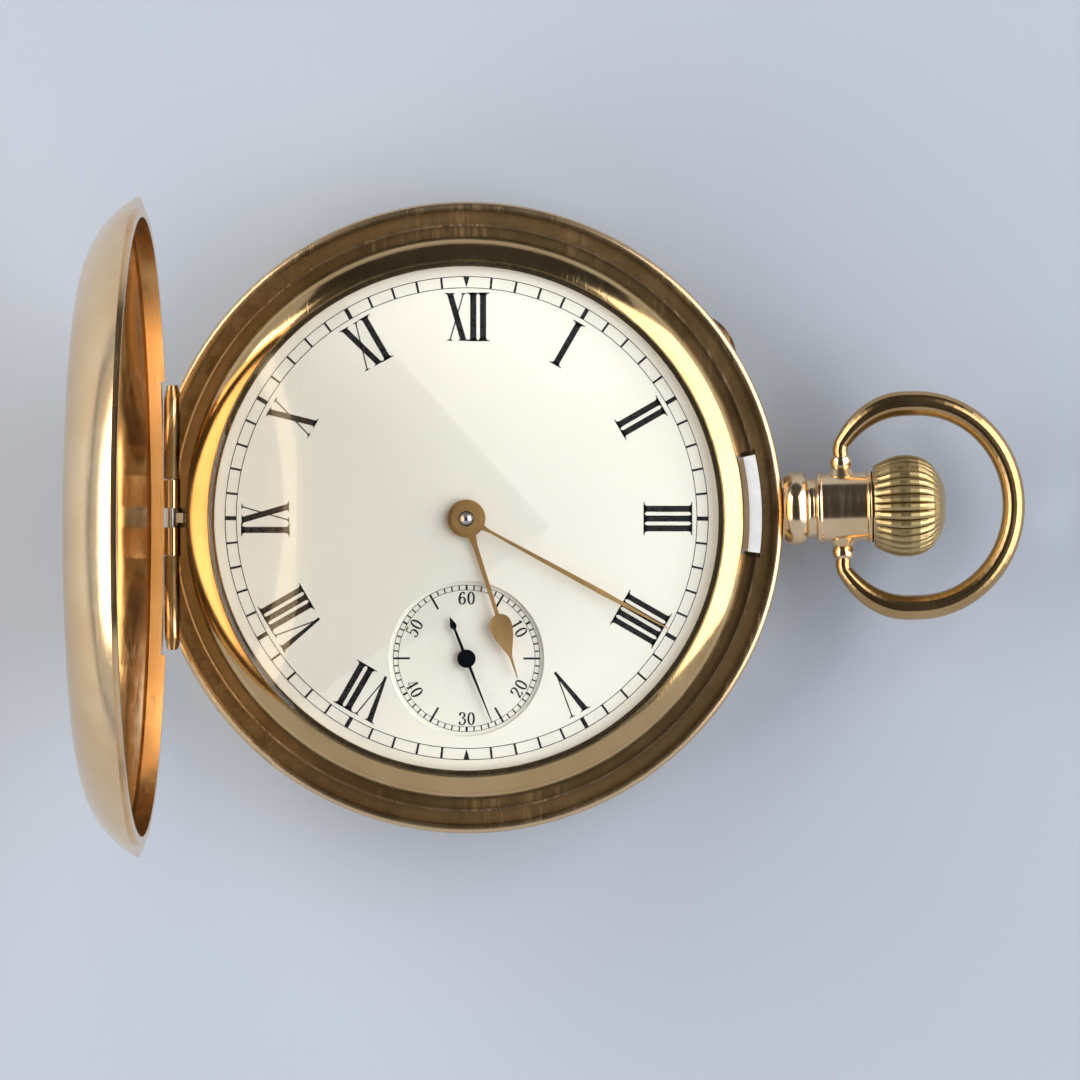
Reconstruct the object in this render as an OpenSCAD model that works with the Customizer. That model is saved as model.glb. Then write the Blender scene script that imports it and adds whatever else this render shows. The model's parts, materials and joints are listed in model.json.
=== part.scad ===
// Full hunter pocket watch, lying on its back with the dial up and the front cover open.
// Origin: centre of the resting face. +Z up, +X toward the pendant, +Y toward twelve.

/* [Case] */
// Diameter over the closed case
case_d = 52; // [51.5:0.5:56]
// Height of the joint between back cover and case middle over the resting face
back_joint_z = 5.2; // [5.1:0.1:6]
// Height of the case middle between its two joints
middle_h = 3.2; // [3:0.1:3.8]
// Rounding of the outer edges of the case middle
band_round = 0.45; // [0.2:0.05:0.8]
// Width of the outer band on which the cover rims close
band_w = 0.7; // [0.5:0.05:0.9]
// Width of the groove that takes the lip of a cover
groove_w = 1.1; // [0.9:0.05:1.3]
// Depth of that groove below the joint
groove_depth = 0.5; // [0.45:0.05:0.7]
// Width of the thin ridge inside the groove
ridge_w = 0.2; // [0.15:0.05:0.3]
// Height of the ridge over the joint
ridge_h = 0.2; // [0.1:0.05:0.3]
// Drop of the bezel seat below the front joint
seat_drop = 0.25; // [0.1:0.05:0.4]

/* [Covers] */
// Depth of the front dome over its joint
front_dome_h = 4.75; // [4.7:0.05:6]
// Radius of the turned edge of the covers
cover_edge_r = 8; // [7.5:0.1:8.3]
// Drop of the centre of the edge curve below the joint
cover_edge_drop = 3.79; // [3.6:0.05:4]
// Wall of the outer covers
cover_wall = 0.5; // [0.4:0.05:0.6]
// Width of the solid rim of a cover
cover_rim_w = 1.6; // [1.3:0.1:1.8]
// Height of the solid rim of a cover
cover_rim_h = 1; // [0.6:0.1:1.3]
// Width of the lip that drops into the groove
lip_w = 0.65; // [0.5:0.05:0.8]
// Height of the lip
lip_h = 0.35; // [0.2:0.05:0.4]
// Depth of the flat on which the watch rests
rest_cut = 0.2; // [0.1:0.05:0.3]
// Reach of the thumb lip of the back cover
thumb_lip = 0.35; // [0.3:0.05:0.8]
// Wall of the inner dust cover
cuvette_wall = 0.35; // [0.25:0.05:0.45]
// Radius of the turned edge of the dust cover
cuvette_edge_r = 6; // [5.5:0.1:6.3]
// Drop of the centre of that edge curve
cuvette_edge_drop = 2.6; // [2.4:0.05:2.8]

/* [Hinges] */
// Distance of both hinge axes from the middle of the watch
hinge_x = 24.35; // [24.2:0.05:24.5]
// Distance of a hinge axis from its joint
hinge_inset = 0.7; // [0.65:0.05:0.8]
// Radius of the hinge tubes
knuckle_r = 0.62; // [0.55:0.01:0.68]
// Radius of the hinge pins
hinge_pin_r = 0.3; // [0.25:0.01:0.35]
// Half length of the hinges
hinge_half = 10.9; // [10:0.1:12]
// Half length of the knuckles that belong to a cover
cover_knuckle_half = 3.1; // [2.5:0.1:4]
// Half width of the middle knuckle and of the lift spring notch
mid_knuckle_half = 0.8; // [0.6:0.05:1]
// Gap between neighbouring knuckles
knuckle_gap = 0.08; // [0.04:0.01:0.15]
// Opening angle of the front cover at rest
front_open = 90; // [0:5:90]

/* [Bezel and crystal] */
// Width of the bezel outside the movement bore
bezel_over = 1.6; // [1.4:0.1:1.7]
// Radius of the rounded slope of the bezel
bezel_round = 3.2; // [3.1:0.1:3.8]
// Radius of the outer edge of the bezel
bezel_edge_r = 0.45; // [0.35:0.05:0.5]
// Height of the bezel over its seat, at the crystal
bezel_h = 2.35; // [2.3:0.05:2.5]
// Inner radius of the bezel lip over the dial
bezel_lip_r = 20.65; // [20.4:0.05:20.8]
// Radius of the crystal
crystal_r = 21.1; // [21:0.05:21.2]
// Thickness of the crystal
crystal_t = 0.8; // [0.5:0.1:1]
// Rise of the crystal from edge to middle
crystal_rise = 1.9; // [1.6:0.1:2]

/* [Dial] */
// Radius of the dial
dial_r = 21; // [20.9:0.05:21.2]
// Thickness of the dial
dial_t = 0.8; // [0.7:0.05:0.9]
// Radius of the sunk seconds opening
seconds_r = 6.38; // [6:0.05:6.6]
// Depth by which the seconds dial is sunk
seconds_sink = 0.35; // [0.2:0.05:0.4]
// Step that carries the seconds dial from behind
seconds_step = 0.35; // [0.2:0.05:0.4]
// Radius of the middle hole of the dial
dial_hole_r = 1.4; // [1.35:0.05:1.6]
// Radius of the dial feet
dial_foot_r = 0.45; // [0.3:0.05:0.6]
// Length of the dial feet
dial_foot_l = 1.5; // [1:0.1:1.7]
// Distance of the dial feet from the middle
dial_foot_at = 17.5; // [16.5:0.5:18.5]

/* [Hands] */
// Clockwise angle of the hour hand from twelve
hour_angle = 162.2; // [0:0.1:360]
// Clockwise angle of the minute hand from twelve
minute_angle = 118.5; // [0:0.1:360]
// Clockwise angle of the long end of the seconds hand
second_angle = 158.2; // [0:0.1:360]
// Length of the hour hand
hour_len = 13.7; // [11:0.1:14]
// Length of the minute hand
minute_len = 18.9; // [15:0.1:19.2]
// Length of the long end of the seconds hand
second_len = 5.65; // [4.5:0.05:5.9]
// Length of the tail of the seconds hand
second_tail = 3.67; // [2.5:0.05:4]
// Thickness of the hands
hand_t = 0.12; // [0.08:0.01:0.16]
// Radius of the hour hand boss
hour_boss_r = 1.56; // [1.5:0.02:1.8]
// Radius of the widest part of the hour hand
spade_r = 0.93; // [0.6:0.01:1.2]

/* [Pendant] */
// Angle of the pendant above the three o'clock line
pendant_turn = 1.6; // [0:0.1:3]
// Radius of the round bead next to the case
bead_r = 3.1; // [2.9:0.05:3.3]
// Radius of the groove behind the bead
neck_r = 2.5; // [2.3:0.05:2.7]
// Radius of the barrel
barrel_neck_r = 2.85; // [2.75:0.05:3]
// Length of the bead
bead_l = 2.1; // [1.8:0.1:2.4]
// Length of the pendant from the case band to its end
pendant_l = 7.6; // [7.2:0.1:8.2]
// Radius of the bore for the sleeve
sleeve_r = 1.5; // [1.3:0.05:1.7]
// Radius of the stub that goes through the case band
stub_r = 1.02; // [0.95:0.01:1.05]
// Distance of the bow pivots from the case band
ear_at = 4.87; // [4.5:0.05:5.2]
// Reach of the bow sockets from the pendant axis
ear_reach = 4.15; // [4:0.05:4.4]
// Radius of the round end of a bow socket
ear_r = 0.9; // [0.8:0.05:1]

/* [Crown] */
// Length of the crown
crown_l = 5.84; // [5.2:0.1:6.4]
// Largest radius of the crown
crown_r = 4.2; // [3.9:0.05:4.4]
// Radius of the crown at its open end
crown_base_r = 3.35; // [3.3:0.05:3.6]
// Number of flutes
flutes = 34; // [28:1:38]
// Depth of the flutes
flute_depth = 0.4; // [0.2:0.02:0.44]
// Travel of the crown when it is pressed
press_travel = 0.5; // [0.3:0.1:0.6]
// Travel of the crown when it is pulled to set the hands
pull_travel = 0.9; // [0.6:0.1:1]

/* [Bow] */
// Half width of the bow across the pendant, at the middle of the wire
bow_half = 8.4; // [8:0.1:9]
// Distance from the case band to the widest part of the bow
bow_at = 10.2; // [10:0.1:10.4]
// Length of the bow's curve toward the pendant
bow_near = 6.7; // [6.5:0.1:6.9]
// Straight run of the bow between its two curves
bow_flat = 0.9; // [0.5:0.1:2]
// Length of the bow's outer curve
bow_far = 7.9; // [7.9:0.1:9]
// Radius of the wire at its thickest
bow_wire_r = 1.03; // [0.8:0.01:1.1]
// Radius of the wire at its outer end
bow_far_r = 0.92; // [0.7:0.01:1]
// Radius of the wire at the sockets
bow_end_r = 0.62; // [0.56:0.01:0.7]
// Radius of the pivots of the bow
bow_pivot_r = 0.5; // [0.4:0.01:0.55]

/* [Winding] */
// Distance of the crown wheel from the middle of the movement
crown_wheel_at = 14.4; // [14.2:0.05:14.5]
// Teeth of the upper crown wheel
crown_teeth = 40; // [38:1:42]
// Teeth of the ratchet wheel
ratchet_teeth = 60; // [58:1:60]
// Module of the crown and ratchet wheels
winding_module = 0.22; // [0.21:0.005:0.22]
// Teeth of the winding pinion, the crown gear under the bridge has twice as many
winding_teeth = 16; // [12:1:18]
// Radius of the winding pinion at its tooth middle
winding_r = 1.05; // [1:0.01:1.08]
// Radius of the stem
stem_r = 0.5; // [0.4:0.02:0.55]

/* [Movement] */
// Radius of the pillar plate
plate_r = 21.5; // [21.3:0.05:21.6]
// Thickness of the pillar plate
plate_t = 2.2; // [2.1:0.1:2.4]
// Radius of the bridges
bridge_r = 19.2; // [18.8:0.1:19.3]
// Thickness of the bridges
bridge_t = 1.15; // [1:0.05:1.2]
// Room between the pillar plate and the bridges
train_room = 2.3; // [2.3:0.05:2.4]
// Radius of the pillars
pillar_r = 0.9; // [0.7:0.05:1]
// Gap between neighbouring bridges
bridge_gap = 0.16; // [0.1:0.02:0.3]
// Radius of the screw heads
screw_head_r = 0.9; // [0.7:0.05:1]
// Height of the screw heads over the bridges
screw_head_h = 0.3; // [0.2:0.05:0.35]
// Radius of the jewels
jewel_r = 0.65; // [0.5:0.05:0.8]
// Radius of the wheel pivots
pivot_r = 0.15; // [0.1:0.01:0.2]
// Radial room of a pivot in its jewel
pivot_play = 0.02; // [0.01:0.005:0.03]

/* [Train] */
// Distance of the seconds arbor from the middle of the movement
seconds_drop = 11.5; // [11:0.1:12]
// Radius of the barrel drum
drum_r = 7.8; // [7.5:0.05:7.8]
// Teeth of the barrel
barrel_teeth = 78; // [76:1:79]
// Module of the barrel and the centre pinion
barrel_module = 0.21; // [0.2:0.005:0.21]
// Leaves of the centre pinion
center_leaves = 12; // [10:1:12]
// Teeth of the centre wheel
center_teeth = 80; // [76:1:80]
// Module of the centre wheel
center_module = 0.17; // [0.165:0.005:0.17]
// Teeth of the third wheel
third_teeth = 75; // [72:1:75]
// Module of the third wheel
third_module = 0.15; // [0.145:0.005:0.15]
// Teeth of the fourth wheel
fourth_teeth = 80; // [76:1:80]
// Module of the fourth wheel
fourth_module = 0.13; // [0.125:0.005:0.13]
// Leaves of the third and fourth pinions
leaves = 10; // [10:1:10]
// Leaves of the escape pinion
escape_leaves = 8; // [7:1:8]
// Thickness of the wheels
wheel_t = 0.22; // [0.15:0.01:0.25]
// Turns of the mainspring
mainspring_turns = 7; // [5:1:8]

/* [Escapement] */
// Radius of the escape wheel
escape_r = 2.6; // [2.4:0.05:2.7]
// Teeth of the escape wheel
escape_teeth = 15; // [15:1:15]
// Direction of the escape wheel from the fourth wheel
escape_dir = 186; // [184:1:188]
// Distance between escape wheel and pallet arbor
pallet_dist = 3.3; // [3.2:0.05:3.4]
// Balance arbor, distance from the middle toward nine
balance_left = 9.2; // [9:0.1:9.4]
// Balance arbor, distance from the middle toward six
balance_down = 3; // [2.8:0.1:3.2]
// Radius of the balance rim
balance_r = 7.5; // [7:0.1:7.6]
// Width of the balance rim
balance_rim_w = 0.55; // [0.4:0.05:0.7]
// Height of the balance rim
balance_h = 0.62; // [0.5:0.02:0.66]
// Number of balance screws
balance_screws = 16; // [12:2:18]
// Turns of the hairspring
hairspring_turns = 9; // [6:1:11]
// Radius of the outer turn of the hairspring
hairspring_r = 3.6; // [3.2:0.1:3.8]

/* [Hidden] */

gold = "#d9b26a";
hand_gold = "#c79a4c";
steel = "#c9ccd1";
blued = "#1b2233";
nickel = "#cfcabd";
brass = "#d8b765";
ruby = "#b3203c";
enamel = "#f4f0e4";
glass = [0.9, 0.95, 1, 0.3];

crown_fn = 720;
ring_fn = 180;
part_fn = 48;
eps = 0.01;
fit = 0.05;
run = 0.03;

case_r = case_d / 2;
front_joint_z = back_joint_z + middle_h;
axis_z = back_joint_z + middle_h / 2;
groove_out_r = case_r - band_w;
groove_in_r = groove_out_r - groove_w;
ridge_in_r = groove_in_r - ridge_w;
bore_r = plate_r + fit;
bezel_z = front_joint_z - seat_drop;
lip_out_r = groove_out_r - 0.25;
lip_in_r = lip_out_r - lip_w;
chord_x = hinge_x + knuckle_r - 0.07;
middle_cut_x = hinge_x - knuckle_r - 0.13;
front_axis_z = front_joint_z - hinge_inset;
rear_axis_z = back_joint_z + hinge_inset;

plate_top = bezel_z - 0.05;
plate_back = plate_top - plate_t;
bridge_front = plate_back - train_room;
bridge_back = bridge_front - bridge_t;
dial_top = plate_top + dial_t;
seconds_top = dial_top - seconds_sink;
ledge_z = back_joint_z - 0.25;
ledge_in_r = plate_r - 0.5;

cuvette_z = ledge_z - 0.05;
cuvette_h = cuvette_z - 1;
cuvette_r = ridge_in_r - 0.7;
cuvette_rim_w = 0.8;
cuvette_rim_h = 0.5;

catch_dir = pendant_turn + 1.3;
catch_half = 9.6;
spring_in_r = bore_r + 0.8;
spring_out_r = spring_in_r + 0.65;
register_r = bore_r + 0.4;
register_w = 0.4;
register_h = 0.4;
channel_low = plate_back + 0.3;
channel_high = front_joint_z - groove_depth - 0.3;

wheel_z = bridge_back - 0.33;
winding_t = 0.28;
center_z = bridge_front + 0.15;
barrel_z = center_z + wheel_t + 0.17;
barrel_tooth_t = 0.5;
drum_top = plate_back + 0.42;
fourth_z = barrel_z + 0.2;
third_z = plate_back - 0.7;
escape_z = plate_back - 0.9;
balance_z = bridge_front - 0.75;
cock_t = 0.52;
cock_z = balance_z - 0.9;
motion_floor = plate_top - 1.15;

balance_at = [-balance_left, -balance_down];
fourth_at = [0, -seconds_drop];
center_third = (center_teeth + leaves) / 2 * center_module;
third_fourth = (third_teeth + leaves) / 2 * third_module;
third_y = (third_fourth * third_fourth - center_third * center_third
    - seconds_drop * seconds_drop) / (2 * seconds_drop);
third_at = [sqrt(center_third * center_third - third_y * third_y), third_y];
fourth_escape = (fourth_teeth + escape_leaves) / 2 * fourth_module;
escape_at = fourth_at + fourth_escape * [cos(escape_dir), sin(escape_dir)];
center_barrel = (barrel_teeth + center_leaves) / 2 * barrel_module;
crown_wheel_pos = crown_wheel_at * [cos(pendant_turn), sin(pendant_turn)];
winding_dist = (crown_teeth + ratchet_teeth) / 2 * winding_module;
barrel_dir = pendant_turn + acos((pow(crown_wheel_at, 2) + pow(center_barrel, 2)
    - pow(winding_dist, 2)) / (2 * crown_wheel_at * center_barrel));
barrel_at = center_barrel * [cos(barrel_dir), sin(barrel_dir)];
pallet_line = balance_at - escape_at;
pallet_at = escape_at + pallet_dist * pallet_line / norm(pallet_line);
pallet_dir = atan2(pallet_line[1], pallet_line[0]);
click_at = barrel_at + (ratchet_r() + 1.75) * [cos(140), sin(140)];
cock_foot = [-11, 9.6];
cock_foot_r = 3.5;
stud_dir = toward(balance_at, cock_foot);
pallet_foot = pallet_at + [-5.4, 0.3];
pallet_foot_r = 1.4;

// Motion work: cannon pinion, minute and hour wheel share one centre distance
cannon_leaves = 12;
minute_teeth = 36;
minute_leaves = 12;
hour_teeth = 48;
cannon_module = 0.15;
motion_dist = (cannon_leaves + minute_teeth) / 2 * cannon_module;
hour_module = 2 * motion_dist / (minute_leaves + hour_teeth);
minute_wheel_at = motion_dist * [cos(30), sin(30)];
cannon_z = motion_floor + 0.12;
hour_wheel_z = cannon_z + 0.5;
pipe_in_r = 0.88;
pipe_out_r = 1.2;
cannon_pipe_r = 0.84;

bridge_pillars = [[-2.4, 16.4], [16.7, 7.4], [16.9, -5]];
train_pillars = [[10.8, -13.4], [-0.8, -17.9], [-10.1, -14.9]];
plate_screws = concat(bridge_pillars, train_pillars);
foot_dirs = [40, 160, 280];
case_screw_dirs = [75, 255];
case_screw_at = ledge_in_r - 0.75;

function ratchet_r() = ratchet_teeth * winding_module / 2;
function crown_wheel_r() = crown_teeth * winding_module / 2;
function toward(from, to) = atan2(to[1] - from[1], to[0] - from[0]);

// Turn of a gear that meshes with another one in direction dir from it
function mesh_turn(dir, teeth_a, turn_a, teeth_b) =
    dir + 180 - (180 - teeth_a * (dir - turn_a)) / teeth_b;

function crown_curve(rim_r, dome_h, edge_r, edge_drop) =
    let (edge_x = rim_r - sqrt(edge_r * edge_r - edge_drop * edge_drop), rise = edge_drop + dome_h)
    (rise * rise + edge_x * edge_x - edge_r * edge_r) / (2 * (rise - edge_r));

// Places its children along the pendant, with X outward from the axis of the watch
module on_pendant() {
    rotate([0, 0, pendant_turn]) translate([0, 0, axis_z]) children();
}

module turned_on_x(fn = part_fn) {
    rotate([0, 90, 0]) rotate_extrude($fn = fn) children();
}

module sector(radius, from, to) {
    mid = (from + to) / 2;
    reach = radius / cos((to - from) / 4);
    polygon([[0, 0], radius * [cos(from), sin(from)],
        reach * [cos((from + mid) / 2), sin((from + mid) / 2)], radius * [cos(mid), sin(mid)],
        reach * [cos((mid + to) / 2), sin((mid + to) / 2)], radius * [cos(to), sin(to)]]);
}

// Part of a flat ring between two angles
module ring_part(in_r, out_r, from, to) {
    intersection() {
        difference() {
            circle(r = out_r, $fn = ring_fn);
            circle(r = in_r, $fn = ring_fn);
        }
        sector(out_r * 1.3, from, to);
    }
}

// Outline under a dome: a crown curve that runs into a tighter edge curve
module dome_profile(rim_r, dome_h, edge_r, edge_drop, inset = 0) {
    crown = crown_curve(rim_r, dome_h, edge_r, edge_drop);
    edge_x = rim_r - sqrt(edge_r * edge_r - edge_drop * edge_drop);
    meet_x = edge_x * (crown - inset) / (crown - edge_r);
    intersection() {
        translate([0, dome_h - crown]) circle(r = crown - inset, $fn = crown_fn);
        square([meet_x, dome_h]);
    }
    intersection() {
        translate([edge_x, -edge_drop]) circle(r = edge_r - inset, $fn = ring_fn);
        translate([edge_x, 0]) square([edge_r, dome_h]);
    }
}

module cover_dome(dome_h, inset = 0) {
    dome_profile(case_r, dome_h, cover_edge_r, cover_edge_drop, inset);
}

// A cover standing on its rim, dome up, with the hinge side cut straight
module cover_shell(dome_h, flat_cut) {
    difference() {
        rotate_extrude($fn = ring_fn) {
            difference() {
                cover_dome(dome_h);
                cover_dome(dome_h, cover_wall);
                translate([0, dome_h - flat_cut]) square([case_r, dome_h]);
            }
            intersection() {
                cover_dome(dome_h);
                translate([case_r - cover_rim_w, 0]) square([cover_rim_w, cover_rim_h]);
            }
            translate([lip_in_r, -lip_h]) square([lip_w, lip_h + cover_rim_h / 2]);
        }
        translate([-chord_x - case_r, -case_r, -case_r]) cube([case_r, case_d, case_d]);
        translate([-case_d, -hinge_half - 0.3, -lip_h - 1]) cube([case_d, 2 * hinge_half + 0.6, lip_h + 1]);
    }
}

// Tube piece of a hinge from one y to another, with a web up to the cover rim
module knuckle(from, to, web_low, web_high, web_in, web_out) {
    translate([-hinge_x, from, 0]) rotate([-90, 0, 0])
        cylinder(r = knuckle_r, h = to - from, $fn = part_fn);
    translate([-web_out, from, web_low]) cube([web_out - web_in, to - from, web_high - web_low]);
}

module hinge_bore(half) {
    translate([-hinge_x, -half, 0]) rotate([-90, 0, 0])
        cylinder(r = hinge_pin_r + run, h = 2 * half, $fn = part_fn);
}

// Cover knuckles seen with the joint at inset above the axis, the axis being z = 0
module cover_knuckles(from) {
    for (side = [[-cover_knuckle_half, -from], [from, cover_knuckle_half]]) {
        knuckle(side[0], side[1], 0, hinge_inset + 0.12, lip_in_r, chord_x);
    }
}

module front_cover_closed() {
    translate([0, 0, front_joint_z]) {
        difference() {
            union() {
                cover_shell(front_dome_h, 0);
                translate([0, 0, -hinge_inset]) cover_knuckles(mid_knuckle_half);
            }
            translate([0, 0, -hinge_inset]) hinge_bore(cover_knuckle_half + 1);
        }
    }
}

module front_cover() {
    color(gold) translate([-hinge_x, 0, front_axis_z]) rotate([0, -front_open, 0])
        translate([hinge_x, 0, -front_axis_z]) front_cover_closed();
}

module back_cover() {
    lip_dir = 35.5;
    color(gold) translate([0, 0, back_joint_z]) mirror([0, 0, 1]) difference() {
        union() {
            cover_shell(back_joint_z + rest_cut, rest_cut);
            translate([0, 0, -hinge_inset]) cover_knuckles(mid_knuckle_half + 0.15);
            rotate([0, 0, lip_dir]) linear_extrude(0.4) intersection() {
                translate([case_r - 4 + thumb_lip, 0]) circle(r = 4, $fn = part_fn);
                translate([case_r - 1, -4]) square([4, 8]);
            }
        }
        translate([0, 0, -hinge_inset]) hinge_bore(cover_knuckle_half + 1);
    }
}

module cuvette() {
    arm_half = mid_knuckle_half - knuckle_gap;
    color(gold) difference() {
        union() {
            translate([0, 0, cuvette_z]) mirror([0, 0, 1]) rotate_extrude($fn = ring_fn) {
                difference() {
                    cuvette_dome();
                    cuvette_dome(cuvette_wall);
                }
                intersection() {
                    cuvette_dome();
                    translate([cuvette_r - cuvette_rim_w, 0]) square([cuvette_rim_w, cuvette_rim_h]);
                }
            }
            translate([-hinge_x, -arm_half, rear_axis_z]) rotate([-90, 0, 0])
                cylinder(r = knuckle_r, h = 2 * arm_half, $fn = part_fn);
            translate([-lip_in_r + 0.12, -arm_half, cuvette_z - 0.45])
                cube([0.55, 2 * arm_half, rear_axis_z - cuvette_z + 0.45]);
            translate([-lip_in_r + 0.12, -arm_half, cuvette_z - 0.45])
                cube([lip_in_r - cuvette_r + 0.5, 2 * arm_half, 0.42]);
        }
        translate([0, 0, rear_axis_z]) hinge_bore(2);
    }
}

module cuvette_dome(inset = 0) {
    dome_profile(cuvette_r, cuvette_h, cuvette_edge_r, cuvette_edge_drop, inset);
}

module case_knuckles(from, taper) {
    for (side = [-1, 1]) {
        translate([-hinge_x, side * from, 0]) rotate([-90 * side, 0, 0]) {
            cylinder(r = knuckle_r, h = hinge_half - from - taper, $fn = part_fn);
            translate([0, 0, hinge_half - from - taper])
                cylinder(r1 = knuckle_r, r2 = hinge_pin_r + run + 0.05, h = taper, $fn = part_fn);
        }
    }
}

// Half section of the case middle
module middle_profile() {
    difference() {
        union() {
            for (z = [back_joint_z + band_round, front_joint_z - band_round]) {
                translate([case_r - band_round, z]) circle(r = band_round, $fn = part_fn);
            }
            translate([ledge_in_r, back_joint_z + band_round])
                square([case_r - ledge_in_r, middle_h - 2 * band_round]);
            translate([ledge_in_r, back_joint_z])
                square([case_r - band_round - ledge_in_r, middle_h]);
            translate([ridge_in_r, back_joint_z - ridge_h])
                square([ridge_w, middle_h + 2 * ridge_h]);
            translate([ledge_in_r, ledge_z]) square([cuvette_r - ledge_in_r + 0.1, 1]);
        }
        // Bore for the movement over its ledge
        translate([0, plate_back]) square([bore_r, case_r]);
        // Seat of the bezel
        translate([0, bezel_z]) square([ridge_in_r, case_r]);
        // Grooves for the lips of the covers
        translate([groove_in_r, front_joint_z - groove_depth]) square([groove_w, case_r]);
        translate([groove_in_r, back_joint_z + groove_depth - case_r]) square([groove_w, case_r]);
        // Channel for the two case springs
        translate([0, channel_low]) square([spring_out_r + 0.25, channel_high - channel_low]);
    }
    translate([register_r, bezel_z - eps]) square([register_w, register_h + eps]);
}

module case_middle() {
    web_in = middle_cut_x - 0.3;
    color(gold) difference() {
        union() {
            difference() {
                rotate_extrude($fn = ring_fn) middle_profile();
                translate([-middle_cut_x - case_r, -hinge_half, 0])
                    cube([case_r, 2 * hinge_half, case_r]);
            }
            translate([0, 0, front_axis_z]) case_knuckles(cover_knuckle_half + knuckle_gap, 1);
            translate([0, 0, rear_axis_z]) case_knuckles(cover_knuckle_half + knuckle_gap, 1);
            for (side = [[-hinge_half + 1, -cover_knuckle_half - knuckle_gap],
                [cover_knuckle_half + knuckle_gap, hinge_half - 1]]) {
                translate([-hinge_x, side[0], rear_axis_z])
                    cube([hinge_x - web_in, side[1] - side[0], front_axis_z - rear_axis_z]);
            }
        }
        translate([0, 0, front_axis_z]) hinge_bore(hinge_half + 1);
        translate([0, 0, rear_axis_z]) hinge_bore(hinge_half + 1);
        // Notch of the lift spring
        translate([-case_r, -mid_knuckle_half, channel_low])
            cube([case_r - bore_r - 0.3, 2 * mid_knuckle_half, case_r]);
        // Pocket of the catch
        translate([0, 0, channel_low]) linear_extrude(case_r)
            catch_part(bore_r - 0.2, groove_in_r + 0.1, 1);
        on_pendant() rotate([0, 90, 0])
            cylinder(r = stub_r + 0.01, h = case_r + 1, $fn = part_fn);
        // Nail nick of the back cover
        rotate([0, 0, 71]) translate([case_r + 11.7, 0, back_joint_z])
            cylinder(r = 12, h = 0.35, $fn = ring_fn);
    }
}

module front_hinge_pin() {
    color(steel) translate([-hinge_x, 0, front_axis_z]) hinge_pin();
}

module rear_hinge_pin() {
    color(steel) translate([-hinge_x, 0, rear_axis_z]) hinge_pin();
}

module hinge_pin() {
    pin_half = hinge_half - 0.3;
    translate([0, -pin_half, 0]) rotate([-90, 0, 0])
        cylinder(r = hinge_pin_r, h = 2 * pin_half, $fn = part_fn);
}

// Steel spring in the case channel, its end rising in the notch beside the hinge
module lift_spring() {
    tip_half = mid_knuckle_half - 0.4;
    tip_x = hinge_x - hinge_pin_r - 0.12;
    spring_z = channel_low + 0.4;
    color(steel) {
        translate([0, 0, spring_z]) linear_extrude(channel_high - channel_low - 0.5)
            ring_part(spring_in_r, spring_out_r, 125, 235);
        translate([-tip_x, -tip_half, spring_z]) cube([tip_x - spring_in_r - 0.1, 2 * tip_half, 0.6]);
        translate([-tip_x, -tip_half, spring_z])
            cube([0.55, 2 * tip_half, front_joint_z - spring_z - 0.15]);
    }
}

// Steel spring at the pendant, with the catch plate that holds the front cover
module lock_spring() {
    hook_z = front_joint_z + 0.08;
    color(steel) difference() {
        union() {
            translate([0, 0, channel_low + 0.1])
                linear_extrude(channel_high - channel_low - 0.2)
                    ring_part(spring_in_r, spring_out_r, -55, 58);
            translate([0, 0, channel_low + 0.05]) linear_extrude(bezel_z - channel_low - 0.15)
                catch_part(spring_out_r - 0.2, ridge_in_r - 0.25);
            translate([0, 0, bezel_z - 0.2]) linear_extrude(hook_z - bezel_z + 0.3)
                catch_part(bezel_r() + 0.1, ridge_in_r - 0.25);
            translate([0, 0, hook_z]) linear_extrude(0.35)
                catch_part(bezel_r() + 0.1, groove_in_r + 0.05);
        }
        on_pendant() rotate([0, 90, 0]) cylinder(r = stem_r + 0.12, h = case_r, $fn = part_fn);
    }
}

module catch_part(in_r, out_r, spare = 0) {
    ring_part(in_r, out_r, catch_dir - catch_half - spare, catch_dir + catch_half + spare);
}

function bezel_r() = bore_r + bezel_over;

module bezel() {
    slope_x = bezel_r() - bezel_round * 0.87;
    slope_z = bezel_z + bezel_h - sqrt(pow(bezel_round, 2) - pow(crystal_r - slope_x, 2));
    edge_x = bezel_r() - bezel_edge_r;
    edge_z = slope_z + sqrt(pow(bezel_round - bezel_edge_r, 2) - pow(edge_x - slope_x, 2));
    meet_x = slope_x + (edge_x - slope_x) * bezel_round / (bezel_round - bezel_edge_r);
    rebate_z = dial_top + 0.8;
    color(gold) difference() {
        rotate_extrude($fn = ring_fn) difference() {
            union() {
                intersection() {
                    translate([slope_x, slope_z]) circle(r = bezel_round, $fn = part_fn * 2);
                    translate([bezel_lip_r, bezel_z]) square([meet_x - bezel_lip_r, case_r]);
                }
                translate([edge_x, edge_z]) circle(r = bezel_edge_r, $fn = part_fn);
                translate([bore_r + 0.1, bezel_z]) square([bezel_over - 0.1, edge_z - bezel_z]);
                translate([bezel_lip_r, dial_top + 0.05]) square([1.5, rebate_z - dial_top - 0.05]);
            }
            square([bezel_lip_r, case_r]);
            square([case_r, bezel_z]);
            square([bore_r + 0.1, dial_top + 0.05]);
            translate([0, rebate_z]) square([crystal_r + 0.02, case_r]);
            translate([register_r - run, bezel_z - 1])
                square([register_w + 2 * run, register_h + 1 + run]);
        }
        // Notch in which the catch plate moves
        linear_extrude(case_r) catch_part(bezel_r() - press_travel + 0.05, case_r, 0.6);
    }
}

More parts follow.
